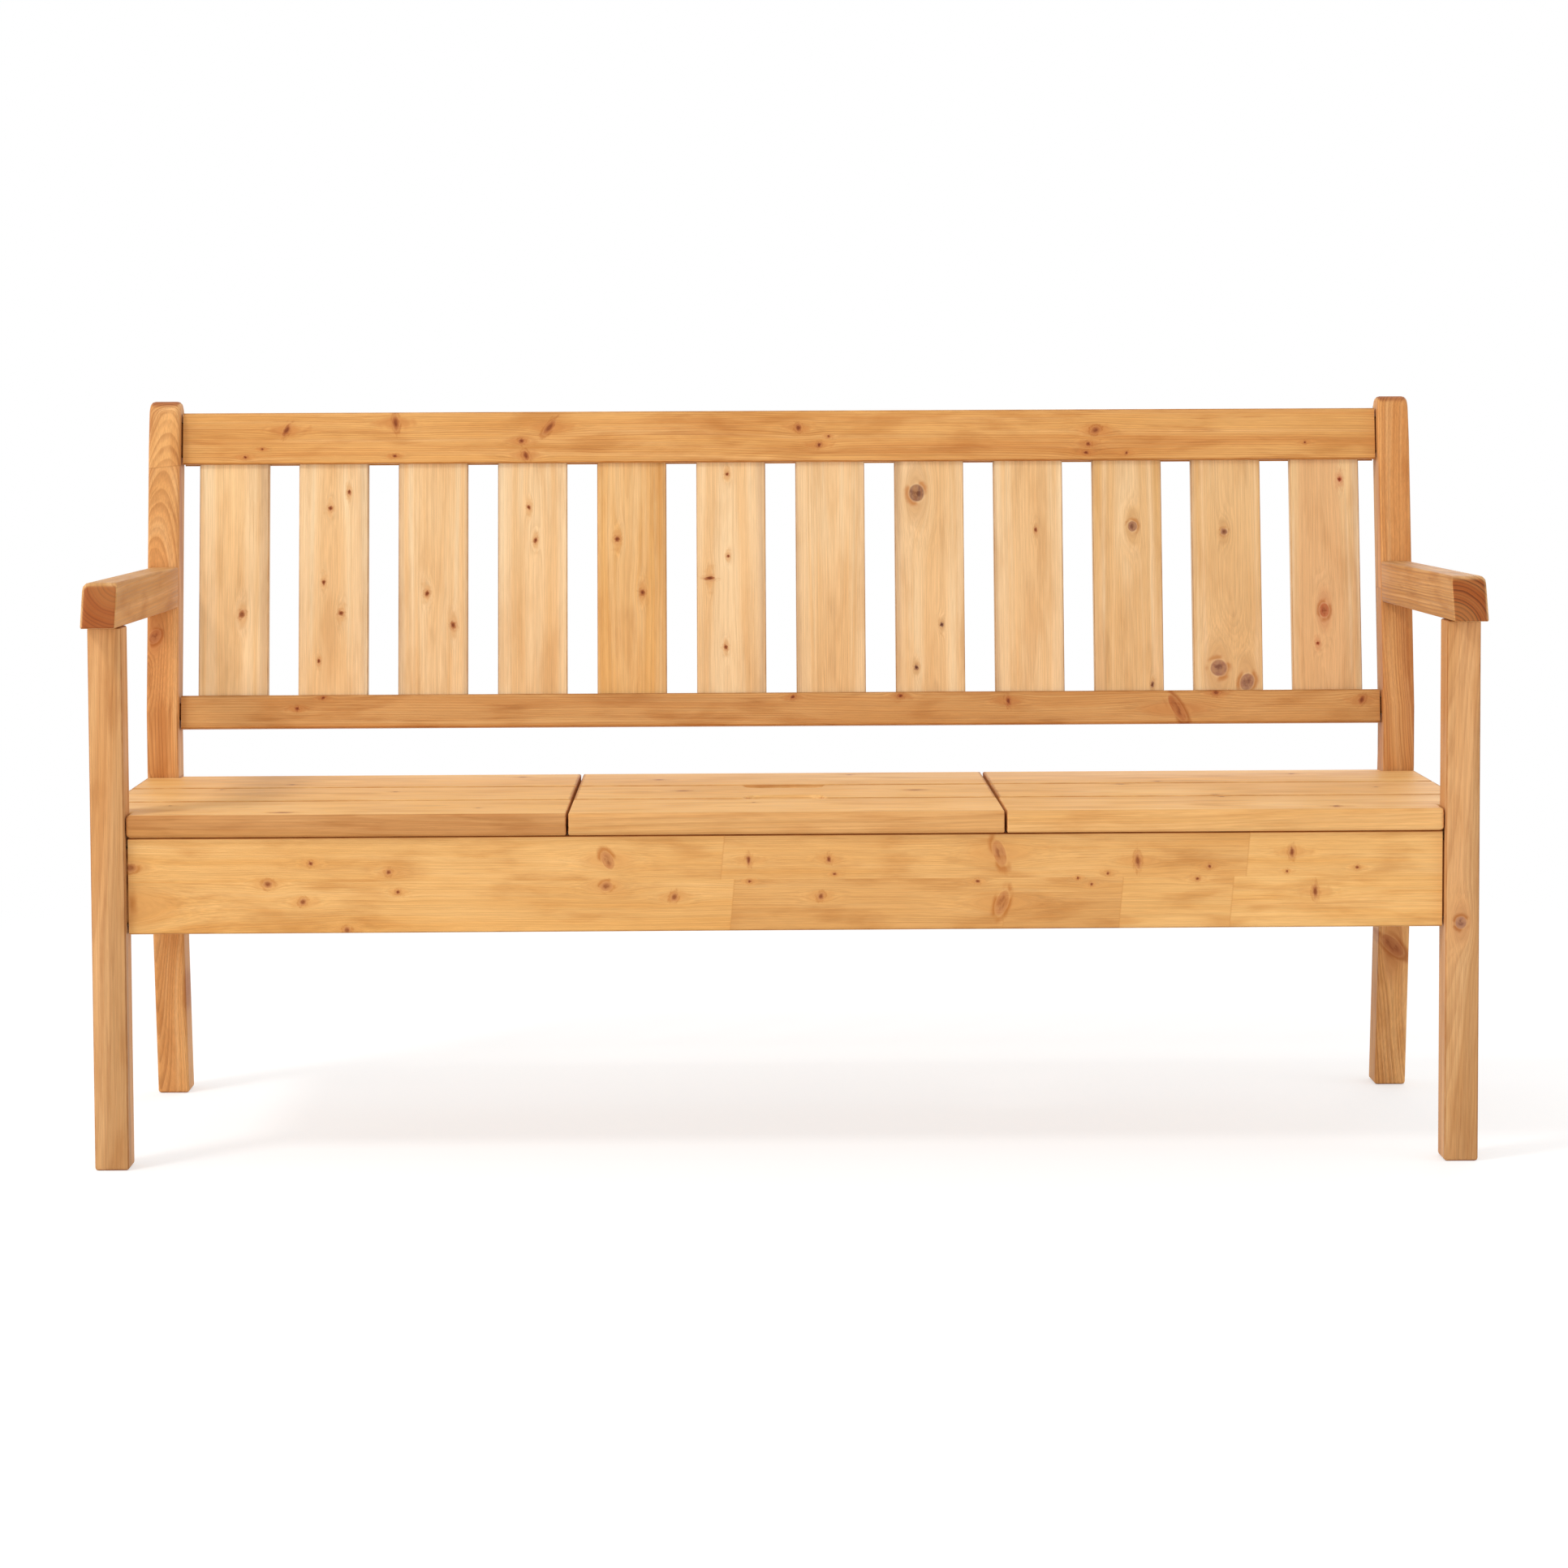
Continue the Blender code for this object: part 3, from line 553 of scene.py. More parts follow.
# Stains: away from the heart, at the heart, amber streaks, pale streaks, ring lines, end grain.
STAINS = {
    "slat": ((206, 173, 135), (233, 198, 152), (222, 172, 110), (240, 214, 173), (189, 148, 103), (182, 124, 76)),
    "amber slat": ((214, 170, 115), (228, 181, 117), (210, 153, 85), (232, 195, 144), (186, 129, 71), (176, 116, 68)),
    "grey slat": ((206, 173, 135), (229, 192, 146), (215, 166, 101), (240, 215, 175), (171, 133, 89), (170, 114, 70)),
    "red slat": ((215, 183, 141), (230, 192, 141), (215, 159, 108), (232, 206, 170), (187, 140, 91), (174, 114, 68)),
    "rail": ((218, 163, 96), (221, 163, 91), (198, 130, 65), (227, 176, 115), (170, 105, 49), (160, 98, 54)),
    "low rail": ((208, 157, 98), (211, 157, 92), (189, 127, 67), (217, 173, 115), (161, 103, 50), (160, 98, 54)),
    "apron": ((227, 175, 108), (227, 171, 100), (217, 157, 85), (232, 183, 119), (193, 130, 67), (168, 104, 58)),
    "post": ((219, 162, 101), (213, 151, 90), (193, 127, 71), (226, 175, 119), (155, 94, 47), (164, 96, 54)),
    "leg": ((194, 146, 96), (219, 166, 112), (197, 137, 77), (221, 173, 120), (151, 92, 49), (164, 96, 54)),
    "arm": ((214, 163, 106), (206, 155, 97), (191, 136, 78), (226, 181, 130), (161, 109, 62), (147, 71, 23)),
    "seat": ((239, 189, 123), (239, 186, 114), (226, 170, 97), (246, 203, 138), (201, 145, 79), (212, 146, 88)),
    "hidden": ((228, 176, 118), (224, 170, 110), (210, 150, 90), (240, 196, 140), (184, 128, 76), (164, 106, 64)),
}
BROWN_KNOT = (168, 102, 58)
RAIL_KNOT = (172, 104, 56)
APRON_KNOT = (190, 126, 74)
POST_KNOT = (168, 102, 60)
LEG_KNOT = (160, 112, 88)
SEAT_KNOT = (176, 118, 74)
HIDDEN_KNOT = (136, 86, 56)

# What a board's look is where it doesn't say otherwise, with lengths in mm.
PLAIN_LOOK = {"knots": (), "joints": (), "knot stain": BROWN_KNOT, "heartwood": 40, "taper": 0.01, "wander": 8,
              "shoulder": NO_SHOULDER, "arris": 2, "depth": 0.4, "patches": 0.6}
# Strength and height of the relief, and the shine of the stain.
PINE_RELIEF, PINE_RELIEF_HEIGHT = 0.35, 0.6 * MM
ZINC_RELIEF, ZINC_RELIEF_HEIGHT = 0.2, 0.1 * MM
PINE_SHINE = 0.15
# Seeds of the joints of one board lie apart from those of the next.
JOINT_SEEDS = 3.7


def new_material(name):
    """New material: itself, its wiring and its shader."""
    material = bpy.data.materials.new(name)
    material.use_nodes = True
    return material, Wiring(material.node_tree), material.node_tree.nodes["Principled BSDF"]


def lay_finish(w, shader, finish, strength, height):
    """Leads the colour, the roughness and the relief of a finish to the shader."""
    w.feed(shader.inputs["Base Color"], finish["Color"])
    w.feed(shader.inputs["Roughness"], finish["Roughness"])
    bump = w.put("Bump")
    bump.inputs["Strength"].default_value = strength
    bump.inputs["Distance"].default_value = height
    w.feed(bump.inputs["Height"], finish["Height"])
    w.feed(shader.inputs["Normal"], bump.outputs["Normal"])


def pine(name, half_size, board_look):
    """Material of one board, in the board's own directions: along the grain, across its face and into its depth."""
    look = {**PLAIN_LOOK, **board_look}
    material, w, shader = new_material(name)
    where = w.put("TexCoord").outputs
    place = where["Object"]
    marks = tints = shift = (0.0, 0.0, 0.0)
    line = tone = 0.0
    for along, across, radius, stretch, lean in look["knots"]:
        knot = w.group(PINE_KNOT, Place=place, Marks=marks, Tints=tints, Centre=(along * MM, across * MM, 0.0),
                       Radius=radius * MM, Stretch=stretch, Lean=math.radians(lean))
        place, marks, tints = knot["Place"], knot["Marks"], knot["Tints"]
    # Joints step the tone: a lamella's own, and on some boards painted light and painted shadow.
    for number, (joint, low, high, step) in enumerate(look["joints"]):
        piece = w.group(FINGER_JOINT, Place=where["Object"], Shift=shift, Line=line, Tone=tone, Joint=joint * MM,
                        Low=low * MM, High=high * MM, Step=step, Seed=look["seed"] * JOINT_SEEDS + number)
        shift, line, tone = piece["Shift"], piece["Line"], piece["Tone"]
    grain = w.group(PINE_GRAIN, Place=place, Shift=shift, Pith=(0.0, look["pith"][0] * MM, look["pith"][1] * MM),
                    Heartwood=look["heartwood"] * MM, Ring_width=look["ring"] * MM, Taper=look["taper"],
                    Wander=look["wander"] * MM, Seed=look["seed"])
    ends = w.group(BOARD_ENDS_AND_TENON_SHADOW, Place=where["Object"], Normal=where["Normal"], Shoulder=look["shoulder"] * MM, Tone=tone)
    arris = w.group(ARRIS_WEAR, Place=where["Object"], Half_size=half_size, Reach=look["arris"] * MM)
    shades = STAINS[look["stain"]] + (look["knot stain"],)
    finish = w.group(
        HONEY_STAIN, Marks=marks, Tints=tints, End=ends["End"], Arris=arris["Arris"], Line=line, Tone=ends["Tone"],
        Ring_depth=look["depth"], Patchiness=look["patches"], **{mask: grain[mask] for mask in GRAIN_MASKS},
        **{layer + " stain": stain(*shade) for layer, shade in zip(STAIN_LAYERS, shades)})
    lay_finish(w, shader, finish, PINE_RELIEF, PINE_RELIEF_HEIGHT)
    shader.inputs["Specular IOR Level"].default_value = PINE_SHINE
    return material


def zinc():
    """Material of the bolts and washers."""
    material, w, shader = new_material("zinc plate")
    finish = w.group(ZINC_MOTTLE, Place=w.put("TexCoord").outputs["Object"])
    lay_finish(w, shader, finish, ZINC_RELIEF, ZINC_RELIEF_HEIGHT)
    shader.inputs["Metallic"].default_value = 1.0
    return material


def ease_arrises(solid, radius):
    """Marks the outer arrises for rounding: not the walls of mortises, grooves and bolt holes, which face each other.
    radius gives the rounding at a point of the board."""
    solid.normal_update()
    walls = BVHTree.FromBMesh(solid)
    weight = solid.edges.layers.float.new("bevel_weight_edge")

    def is_wall(face):
        start = face.calc_center_median() + face.normal * WALL_START
        return walls.ray_cast(start, face.normal, MORTISE_SPAN)[0] is not None

    inner = {face.index for face in solid.faces if is_wall(face)}
    for edge in solid.edges:
        faces = edge.link_faces
        if len(faces) != 2 or not edge.is_convex or edge.calc_face_angle() < SHARP_TURN:
            continue
        if faces[0].index in inner or faces[1].index in inner:
            continue
        middle = (edge.verts[0].co + edge.verts[1].co) / 2
        edge[weight] = radius(middle) / LARGEST_EASE


def eased(node_name, along, across, radius, material):
    """Piece that stands for a CAD node: its shape laid out along its own grain, with rounded arrises.
    radius is a number, or says from a point and the half sizes how far the arris there is rounded.
    material is one, or makes one from the half sizes."""
    node = frame["nodes"][node_name]
    turn = Matrix((along, across, along.cross(across)))
    solid = bmesh.new()
    solid.from_mesh(node.data)
    bmesh.ops.transform(solid, matrix=turn.to_4x4(), verts=solid.verts)
    bmesh.ops.remove_doubles(solid, verts=solid.verts, dist=WELD)
    low = Vector(min(v.co[i] for v in solid.verts) for i in range(3))
    high = Vector(max(v.co[i] for v in solid.verts) for i in range(3))
    centre, half_size = (low + high) / 2, (high - low) / 2
    bmesh.ops.translate(solid, verts=solid.verts, vec=-centre)
    bmesh.ops.dissolve_limit(solid, angle_limit=FLAT_TURN, verts=solid.verts, edges=solid.edges)
    rounding = (lambda point: radius(point, half_size)) if callable(radius) else (lambda point: radius)
    ease_arrises(solid, rounding)
    for face in solid.faces:
        face.smooth = True
    mesh = bpy.data.meshes.new(node_name + "_eased")
    solid.to_mesh(mesh)
    solid.free()
    piece = bpy.data.objects.new(node_name + "_eased", mesh)
    bpy.context.scene.collection.objects.link(piece)
    piece.matrix_world = Matrix.Translation(turn.transposed() @ centre) @ turn.transposed().to_4x4()
    bevel = piece.modifiers.new("eased arrises", "BEVEL")
    bevel.limit_method = "WEIGHT"
    bevel.width = LARGEST_EASE
    bevel.segments = ARRIS_STEPS
    bevel.use_clamp_overlap = False
    normals = piece.modifiers.new("flat faces", "WEIGHTED_NORMAL")
    normals.keep_sharp = True
    mesh.materials.append(material(half_size) if callable(material) else material)
    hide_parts(node_name)
    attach(piece, node["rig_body"])
    return piece


def board(node_name, along, across, radius, look):
    """Eased board of pine with a look of its own."""
    piece = eased(node_name, along, across, radius, lambda half_size: pine(node_name + " pine", half_size, look))


# A finger joint is given by its place along the board, the lowest and highest place across it in mm, and the step in
# tone past it. BEFORE lies before the start of every board, LOW and HIGH lie beyond its edges.
BEFORE, LOW, HIGH = -900, -99, 99

# Back slats: stain, colour of the knots, place of the pith across the slat and from its middle, and knots. A knot is
# given by its place along and across the board, its radius in mm, how many times longer than wide it is, and how many
# degrees its length leans from the grain.
SLATS = [
    ("slat", BROWN_KNOT, (-4, -47), [(-47, 11, 5.5, 1.2, 20)]),
    ("slat", BROWN_KNOT, (-5, -47), [(119, 21, 3.2, 1.5, 0), (97, -4, 4.2, 1, 0), (-4, -13, 3.2, 1.4, 0),
                                     (-46, 10, 4.5, 1, 0), (-111, -19, 2.8, 1.5, 0)]),
    ("slat", BROWN_KNOT, (2, -48), [(-20, -8, 4.2, 1.2, 20), (-63, 27, 4.5, 1.5, -10)]),
    ("slat", BROWN_KNOT, (3, -45), [(97, -5, 3.2, 1.4, -30), (52, 4, 3.2, 1.6, 20)]),
    ("amber slat", BROWN_KNOT, (-6, -46), [(53, -20, 4.6, 1.1, 60), (-20, 14, 4.6, 1.2, 0)]),
    ("slat", BROWN_KNOT, (-7, -46), [(141, -5, 3.2, 1, 0), (29, -4, 2.8, 1, 0), (-1, -29, 3.8, 2.4, 88),
                                     (-95, -8, 3.2, 1.4, -20)]),
    ("slat", BROWN_KNOT, (3, -44), []),
    ("slat", (122, 80, 64), (5, -46), [(114, -17, 12, 1.15, 0), (-66, 15, 3.2, 1.2, 0), (-124, -19, 3.6, 1.1, 0)]),
    ("slat", BROWN_KNOT, (2, -46), [(63, 10, 2.8, 1.6, 0)]),
    ("grey slat", (146, 100, 78), (0, -45), [(67, 7, 7.5, 1.1, 0), (-149, 31, 2.8, 2, 10)]),
    ("grey slat", (148, 102, 82), (4, -44), [(59, -3, 5.5, 1, 0), (-127, -13, 13, 1, 0), (-146, 21, 11.5, 1.2, 30)]),
    ("red slat", (176, 92, 54), (-6, -46), [(130, 21, 4, 1.2, 0), (-49, -3, 7.8, 1.45, 0), (-94, -11, 3.2, 1, 0)]),
]
# Painted light: the first slat is paler than its stain, against the shade that the left armrest casts on it.
SLAT_PAINTED_LIGHT = {1: [(BEFORE, LOW, HIGH, 0.35)]}
SLAT_RINGS = (0.9, 1.0, 1.1, 1.2)
SLAT_SEEDS = 3.1
SLAT_TAPER = 0.007

TOP_RAIL_KNOTS = [(-671, 11, 5, 2.2, 58), (-704, -14, 2.5, 1, 0), (-727, -25, 3, 1.3, 0), (-523, 20, 5.5, 2.2, 98),
                  (-524, -24, 3, 1.4, 0), (-352, -5, 4.5, 1.2, 0), (-346, -24, 5, 1.8, 110), (-314, 12, 5.5, 2.6, 50),
                  (430, 6, 6, 1.3, 20), (420, -11, 4.5, 1, 0), (417, -22, 4, 1.2, 0), (25, 11, 5, 1.3, 110),
                  (66, 0, 2.5, 1, 0), (53, -11, 4, 1.4, 60), (472, -24, 2.5, 1.4, 60), (716, -12, 2.5, 1, 0)]
LOW_RAIL_KNOTS = [(-655, 4, 4, 1, 0), (-620, 18, 3, 1.5, 30), (15, 16, 3.5, 1.4, 40), (161, 17, 4, 1.3, 0),
                  (307, 9, 4.5, 1.8, 100), (536, -2, 8, 3.0, 122), (589, 17, 5, 1.3, 0), (787, 8, 5, 1.6, 60)]
APRON_KNOTS = [(-809, 23, 6.5, 1.5, 0), (-828, -26, 19, 1.5, 90), (-640, 0, 5.5, 1.3, 0), (-597, -20, 5, 1.2, 30),
               (-587, 24, 4, 1, 0), (-543, -54, 5.5, 1, 0), (-491, 14, 4.5, 1, 0), (-480, -9, 3.8, 1, 0),
               (-221, 28, 8, 1.7, 118), (-223, -2, 7, 1.25, 15), (-139, -16, 5.5, 1.2, 60), (-47, 27, 4, 1.9, 95),
               (-46, 2, 2.8, 1.3, 0), (42, -17, 5, 1.2, 60), (52, 27, 4, 1.5, 95), (59, 10, 2.8, 1.3, 0),
               (236, 0, 3.2, 1.4, 0), (263, 34, 9, 2.1, 108), (266, -25, 8.5, 2.2, 72), (360, 3, 2.8, 1, 0),
               (377, -4, 3, 1, 0), (397, 8, 3, 1, 0), (434, 23, 5, 2.2, 95), (508, 2, 3, 1.2, 0),
               (523, 16, 3.5, 1, 0), (619, 10, 2.5, 1, 0), (625, 33, 4.5, 2, 90), (654, -14, 4.5, 2.4, 95),
               (706, 14, 3, 1.2, 0)]
# Painted shadow: the first step darkens the apron along its top arris, under the seat boards. The apron is glued up
# from an upper and a lower lamella.
APRON_JOINTS_AND_SHADOW_LINE = [(BEFORE, 58, HIGH, -3.0), (BEFORE, 4, HIGH, 0.0), (-82, 4, HIGH, -0.25), (-65, LOW, 4, -0.5),
                (272, LOW, -14, -0.15), (416, LOW, 4, 0.55), (416, LOW, -14, 0.15), (553, LOW, 4, 0.35),
                (568, 4, HIGH, 0.5)]
REAR_RAIL_KNOTS = [(-420, 12, 6, 1.2, 0), (310, -18, 5, 1, 0)]
LEG_KNOTS = {"left": [], "right": [(-38, -2, 8, 1.1, 0)]}
# Some of the branches that bend the grain of the back posts lie beside the post.
POST_KNOTS = {"left": [(440, -60, 30, 1, 0), (157, -13, 8, 1.4, 30), (-330, 50, 24, 1.6, 0)],
              "right": [(-276, -2, 10, 2.4, -45), (60, 66, 34, 1.6, 0)]}
# Each post is glued up from three lengths. From the front the seat hides the lowest of its joints. The step in tone
# there is painted light: below it the post is paler, against the shade that the seat throws on it.
POST_JOINTS_AND_PAINTED_LIGHT = {"left": [(BEFORE, LOW, HIGH, 0.6), (-35, LOW, HIGH, -0.45), (385, LOW, HIGH, 0.3)],
               "right": [(BEFORE, LOW, HIGH, 0.4), (-35, LOW, HIGH, -0.95), (215, LOW, HIGH, 1.1)]}
# The front lamellas of the seat and the table are darker than the rest of their boards.
FRONT_LAMELLA = -69
DARK_FRONTS = {"seat_front_board_left": -2.1, "seat_front_board_right": -0.6, "table_front_board": -1.2}
SEAT_KNOTS = {
    "seat_front_board_left": [(-58, -48, 6, 2.6, 0), (180, -12, 3, 1.6, 0), (-210, 30, 3, 1.3, 0)],
    "seat_middle_board_left": [(60, 20, 4, 1.4, 0), (-170, 58, 3.5, 1.5, 0)],
    "seat_rear_board_left": [(-85, -40, 4.5, 1.3, 0), (215, 36, 5, 1.8, 0)],
    "seat_front_board_right": [(119, -46, 6, 1.5, 80), (-9, 62, 3.5, 1.6, 0)],
    "seat_middle_board_right": [(-122, 60, 4.5, 2, 0), (-14, -64, 4, 1.8, 0), (205, 10, 3.5, 1.2, 0)],
    "seat_rear_board_right": [(-70, -58, 4, 1.6, 0), (120, 22, 5, 1.3, 20)],
    "table_front_board": [(-40, 30, 3, 1.3, 0)],
    "table_middle_board": [(-132, 12, 7, 1.6, 0), (170, 8, 7, 1.7, 0)],
    "table_rear_board": [(-165, -6, 6, 1.3, 10), (90, 40, 4, 1.5, 0)],
}
# Reach of the darker arrises of seat and table boards, in mm: the front ones' is less.
SEAT_ARRIS_DARKENING = {"front": 1, "middle": 5, "rear": 5}


def dark_front(name):
    """Joint along the board for a front lamella that is darker than the rest of it."""
    return [(BEFORE, LOW, FRONT_LAMELLA, DARK_FRONTS[name])] if name in DARK_FRONTS else []


def low_rail_ease(point, half_size):
    """Arrises of the back's low rail: the lower ones are softer."""
    return LOW_ARRIS_EASE if point.y < 0 else FINE_EASE


def seat_ease(point, half_size):
    """Arrises of a seat or table board: its ends, which face the slots beside the table, are eased least."""
    return SEAT_END_EASE if abs(point.x) > half_size.x - SEAT_END else SEAT_EASE


def post_ease(point, half_size):
    """Arrises of a back post: softest at its top, soft at its foot."""
    if point.x > half_size.x - POST_TOP:
        return POST_TOP_EASE
    return LOW_ARRIS_EASE if point.x < FOOT - half_size.x else BOARD_EASE


def leg_ease(point, half_size):
    """Arrises of a front leg: soft at its foot."""
    return LOW_ARRIS_EASE if point.x < FOOT - half_size.x else FINE_EASE


def arm_ease(side):
    """Arrises of an armrest: the outer ones are the softest, but for the lowest."""
    outward = -1 if side == "left" else 1

    def ease(point, half_size):
        return ARM_EASE if point.z * outward > ARM_OUTSIDE and point.y > ARM_LOW_ARRIS else BOARD_EASE
    return ease


# The first slat's step in tone is painted light.
for number, (tone, knot_tone, pith, knots) in enumerate(SLATS, 1):
    board(f"back_slat_{number:02d}", UP_THE_BACK, ACROSS_BENCH, SLAT_EASE,
          {"stain": tone, "knot stain": knot_tone, "pith": pith, "ring": SLAT_RINGS[number % len(SLAT_RINGS)],
           "knots": knots, "seed": SLAT_SEEDS * number, "joints": SLAT_PAINTED_LIGHT.get(number, ()),
           "taper": SLAT_TAPER * (-1) ** number, "heartwood": 58, "wander": 5, "arris": 1.5, "patches": 0.35,
           "depth": 0.2})

board("back_top_rail", ACROSS_BENCH, UP_THE_BACK, BOARD_EASE,
      {"stain": "rail", "knot stain": RAIL_KNOT, "pith": (-95, -30), "ring": 2.6, "knots": TOP_RAIL_KNOTS,
       "seed": 51.0, "taper": 0.008, "heartwood": 70, "wander": 14, "shoulder": SHOULDER})
board("back_low_rail", ACROSS_BENCH, UP_THE_BACK, low_rail_ease,
      {"stain": "low rail", "knot stain": RAIL_KNOT, "pith": (60, -40), "ring": 2.2, "knots": LOW_RAIL_KNOTS,
       "seed": 53.0, "taper": -0.006, "heartwood": 60, "wander": 10, "shoulder": SHOULDER})
# The apron's first step in tone is a painted shadow along its top arris, under the seat.
board("front_apron", ACROSS_BENCH, UPRIGHT, BOARD_EASE,
      {"stain": "apron", "knot stain": APRON_KNOT, "pith": (-110, -45), "ring": 2.4, "knots": APRON_KNOTS,
       "seed": 57.0, "taper": 0.006, "heartwood": 90, "wander": 12, "joints": APRON_JOINTS_AND_SHADOW_LINE, "depth": 0.2,
       "shoulder": SHOULDER})
board("rear_seat_rail", ACROSS_BENCH, UPRIGHT, BOARD_EASE,
      {"stain": "hidden", "knot stain": HIDDEN_KNOT, "pith": (-80, -35), "ring": 3.8, "knots": REAR_RAIL_KNOTS,
       "seed": 59.0, "taper": 0.006})

for side in SIDES:
    turned = 1 if side == "left" else -1
    board(f"front_leg_{side}", UPRIGHT, ACROSS_BENCH, leg_ease,
          {"stain": "leg", "knot stain": LEG_KNOT, "pith": (-26, 50), "ring": 2.4, "knots": LEG_KNOTS[side],
           "seed": 61.0 + turned, "taper": -0.025 + 0.01 * turned, "heartwood": 76, "depth": 0.25,
           "patches": 0.45})
    # Below the seat the back posts are paler: painted light against the seat's shade.
    board(f"back_post_{side}", UPRIGHT, ACROSS_BENCH, post_ease,
          {"stain": "post", "knot stain": POST_KNOT, "pith": (-34 * turned, -30), "ring": 3.9 - 0.5 * turned,
           "knots": POST_KNOTS[side], "seed": 67.0 + turned, "taper": 0.03 * turned, "heartwood": 44, "depth": 0.5,
           "joints": POST_JOINTS_AND_PAINTED_LIGHT[side]})
    board(f"armrest_{side}", INTO_BENCH, UPRIGHT, arm_ease(side),
          {"stain": "arm", "pith": (34 * turned, 24 * turned), "ring": 4.4, "seed": 71.0 + turned, "taper": 0.012,
           "heartwood": 36, "depth": 0.5 - 0.2 * turned})
    board(f"side_rail_{side}", INTO_BENCH, UPRIGHT, BOARD_EASE,
          {"stain": "hidden", "knot stain": HIDDEN_KNOT, "pith": (-70, 30), "ring": 3.9, "seed": 73.0 + turned,
           "knots": [(60 * turned, 10, 5, 1.1, 0)]})
    board(f"table_bearer_{side}", INTO_BENCH, UPRIGHT, BOARD_EASE,
          {"stain": "hidden", "knot stain": HIDDEN_KNOT, "pith": (-60, 40), "ring": 4.0, "seed": 77.0 + turned,
           "knots": [(-40 * turned, -14, 5, 1, 0)]})
    board(f"table_cleat_{side}", INTO_BENCH, UPRIGHT, FINE_EASE,
          {"stain": "hidden", "pith": (-55, 36), "ring": 3.6, "seed": 79.0 + turned})
    for row, place in enumerate(ROWS):
        name = f"seat_{place}_board_{side}"
        board(name, ACROSS_BENCH, INTO_BENCH, seat_ease,
              {"stain": "seat", "knot stain": SEAT_KNOT, "pith": (14 * turned - 9 * row, -60 + 6 * row), "ring": 4.4,
               "knots": SEAT_KNOTS[name], "seed": 83.0 + row * 2 + turned, "taper": 0.02 * turned, "heartwood": 66,
               "wander": 14, "patches": 0.45, "arris": SEAT_ARRIS_DARKENING[place], "joints": dark_front(name)})
    for place in SWING_ARM_PAIRS:
        board(f"swing_arm_{place}_{side}", INTO_BENCH, UPRIGHT, SWING_ARM_EASE,
              {"stain": "hidden", "pith": (-48, 20 * turned), "ring": 3.4, "seed": 97.0 + turned})

for row, place in enumerate(ROWS):
    name = f"table_{place}_board"
    board(name, ACROSS_BENCH, INTO_BENCH, seat_ease,
          {"stain": "seat", "knot stain": SEAT_KNOT, "pith": (-12 + 10 * row, -56), "ring": 4.6,
           "knots": SEAT_KNOTS[name], "seed": 107.0 + row, "taper": -0.018, "heartwood": 62, "wander": 14,
           "patches": 0.4, "arris": SEAT_ARRIS_DARKENING[place], "joints": dark_front(name)})
board("swing_arm_stretcher", ACROSS_BENCH, INTO_BENCH, STRETCHER_EASE,
      {"stain": "hidden", "pith": (-30, 12), "ring": 3.2, "seed": 113.0})

zinc_plate = zinc()
for carrier in ("bearer", "table"):
    for place in SWING_ARM_PAIRS:
        for side in SIDES:
            for fastener in ("bolt", "washer"):
                piece = eased(f"{carrier}_{fastener}_{place}_{side}", ACROSS_BENCH, INTO_BENCH, BOLT_EASE, zinc_plate)


def place_camera():
    """Camera of the photograph, with the frame shifted down from the horizon as the photograph's was."""
    yaw, pitch, roll = (math.radians(turn) for turn in (CAMERA_YAW, CAMERA_PITCH, CAMERA_ROLL))
    facing = Matrix(((1, 0, 0), (0, 0, -1), (0, 1, 0)))
    turn_yaw = Matrix(((math.cos(yaw), math.sin(yaw), 0), (-math.sin(yaw), math.cos(yaw), 0), (0, 0, 1)))
    turn_pitch = Matrix(((1, 0, 0), (0, math.cos(pitch), -math.sin(pitch)), (0, math.sin(pitch), math.cos(pitch))))
    turn_roll = Matrix(((math.cos(roll), math.sin(roll), 0), (-math.sin(roll), math.cos(roll), 0), (0, 0, 1)))
    right, down, ahead = turn_roll @ turn_pitch @ facing @ turn_yaw
    lens = bpy.data.cameras.new("photograph camera")
    lens.sensor_width = SENSOR_WIDTH
    lens.lens = FOCAL_PIXELS / FRAME_PIXELS * SENSOR_WIDTH
    lens.shift_y = (HORIZON_ROW - FRAME_PIXELS / 2) / FRAME_PIXELS
    camera = bpy.data.objects.new("photograph_camera", lens)
    bpy.context.scene.collection.objects.link(camera)
    camera.matrix_world = Matrix.Translation(CAMERA_PLACE) @ Matrix((right, -down, -ahead)).transposed().to_4x4()
    bpy.context.scene.camera = camera


def soft_light(name, place, target_height, size, power):
    """Round light that faces the middle of the bench at some height."""
    lamp = bpy.data.lights.new(name, "AREA")
    lamp.shape = "DISK"
    lamp.size = size
    lamp.energy = power
    holder = bpy.data.objects.new(name, lamp)
    bpy.context.scene.collection.objects.link(holder)
    holder.location = place
    holder.rotation_euler = (Vector((0, 0, target_height)) - Vector(place)).to_track_quat("-Z", "Y").to_euler()


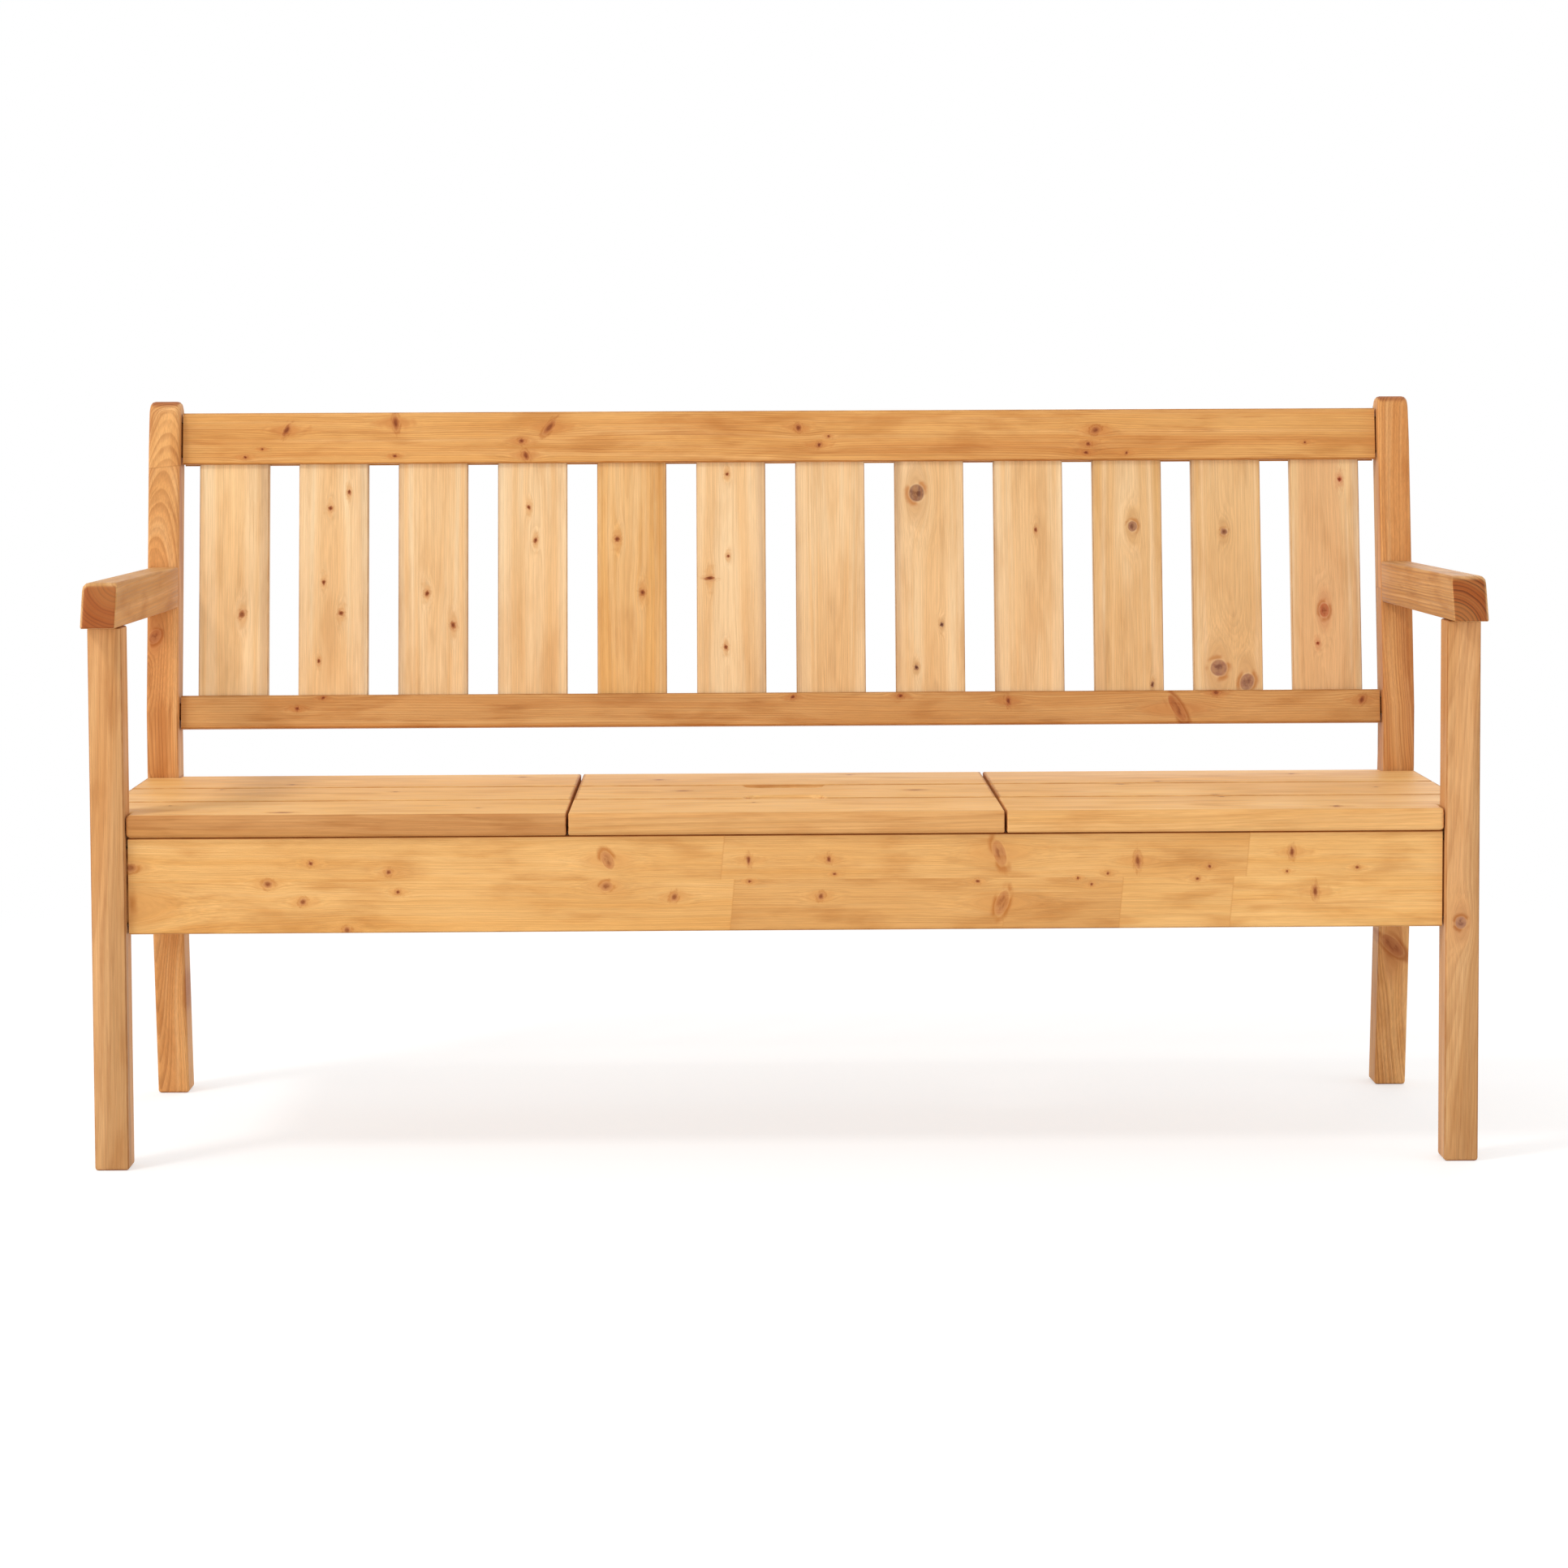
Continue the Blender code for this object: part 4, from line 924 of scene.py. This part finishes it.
def seen_directly(w):
    """Share of rays that show the studio itself: to the camera, or by way of gloss or glass."""
    rays = w.put("LightPath").outputs
    return w.maths("MAXIMUM", rays["Is Camera Ray"],
                   w.maths("MAXIMUM", rays["Is Glossy Ray"], rays["Is Transmission Ray"]))


def light_studio():
    """White room: the walls show white, the light itself is at a plain level."""
    world = bpy.data.worlds.new("white room")
    world.use_nodes = True
    bpy.context.scene.world = world
    w = Wiring(world.node_tree)
    lit = w.put("Background", WHITE, ROOM_LIGHT)
    shown = w.put("Background", WHITE, 1.0)
    mixed = w.put("MixShader", seen_directly(w), lit.outputs[0], shown.outputs[0])
    w.feed(world.node_tree.nodes["World Output"].inputs["Surface"], mixed.outputs[0])
    for name, (place, target_height, size, power) in LIGHTS.items():
        soft_light(name, place, target_height, size, power)


def lay_floor():
    """Pale floor that keeps the bench's soft shadow near it and runs out into the white of the room."""
    solid = bmesh.new()
    bmesh.ops.create_grid(solid, x_segments=1, y_segments=1, size=FLOOR_REACH)
    mesh = bpy.data.meshes.new("studio_floor")
    solid.to_mesh(mesh)
    solid.free()
    floor = bpy.data.objects.new("studio_floor", mesh)
    bpy.context.scene.collection.objects.link(floor)
    material = bpy.data.materials.new("pale floor")
    material.use_nodes = True
    w = Wiring(material.node_tree)
    bounce = w.put("BsdfDiffuse", FLOOR_BOUNCE)
    shadowed = w.put("BsdfDiffuse", FLOOR_GREY)
    glow = w.put("Emission", WHITE, FLOOR_GLOW)
    near = w.put("AddShader", shadowed.outputs[0], glow.outputs[0])
    white = w.put("Emission", WHITE, 1.0)
    distance = w.length(w.put("TexCoord").outputs["Object"])
    shown = w.put("MixShader", w.step(distance, SHADOW_REACH, WHITE_REACH), near.outputs[0], white.outputs[0])
    mixed = w.put("MixShader", seen_directly(w), bounce.outputs[0], shown.outputs[0])
    w.feed(material.node_tree.nodes["Material Output"].inputs["Surface"], mixed.outputs[0])
    mesh.materials.append(material)


place_camera()
light_studio()
lay_floor()
bpy.context.scene.view_settings.view_transform = "Standard"
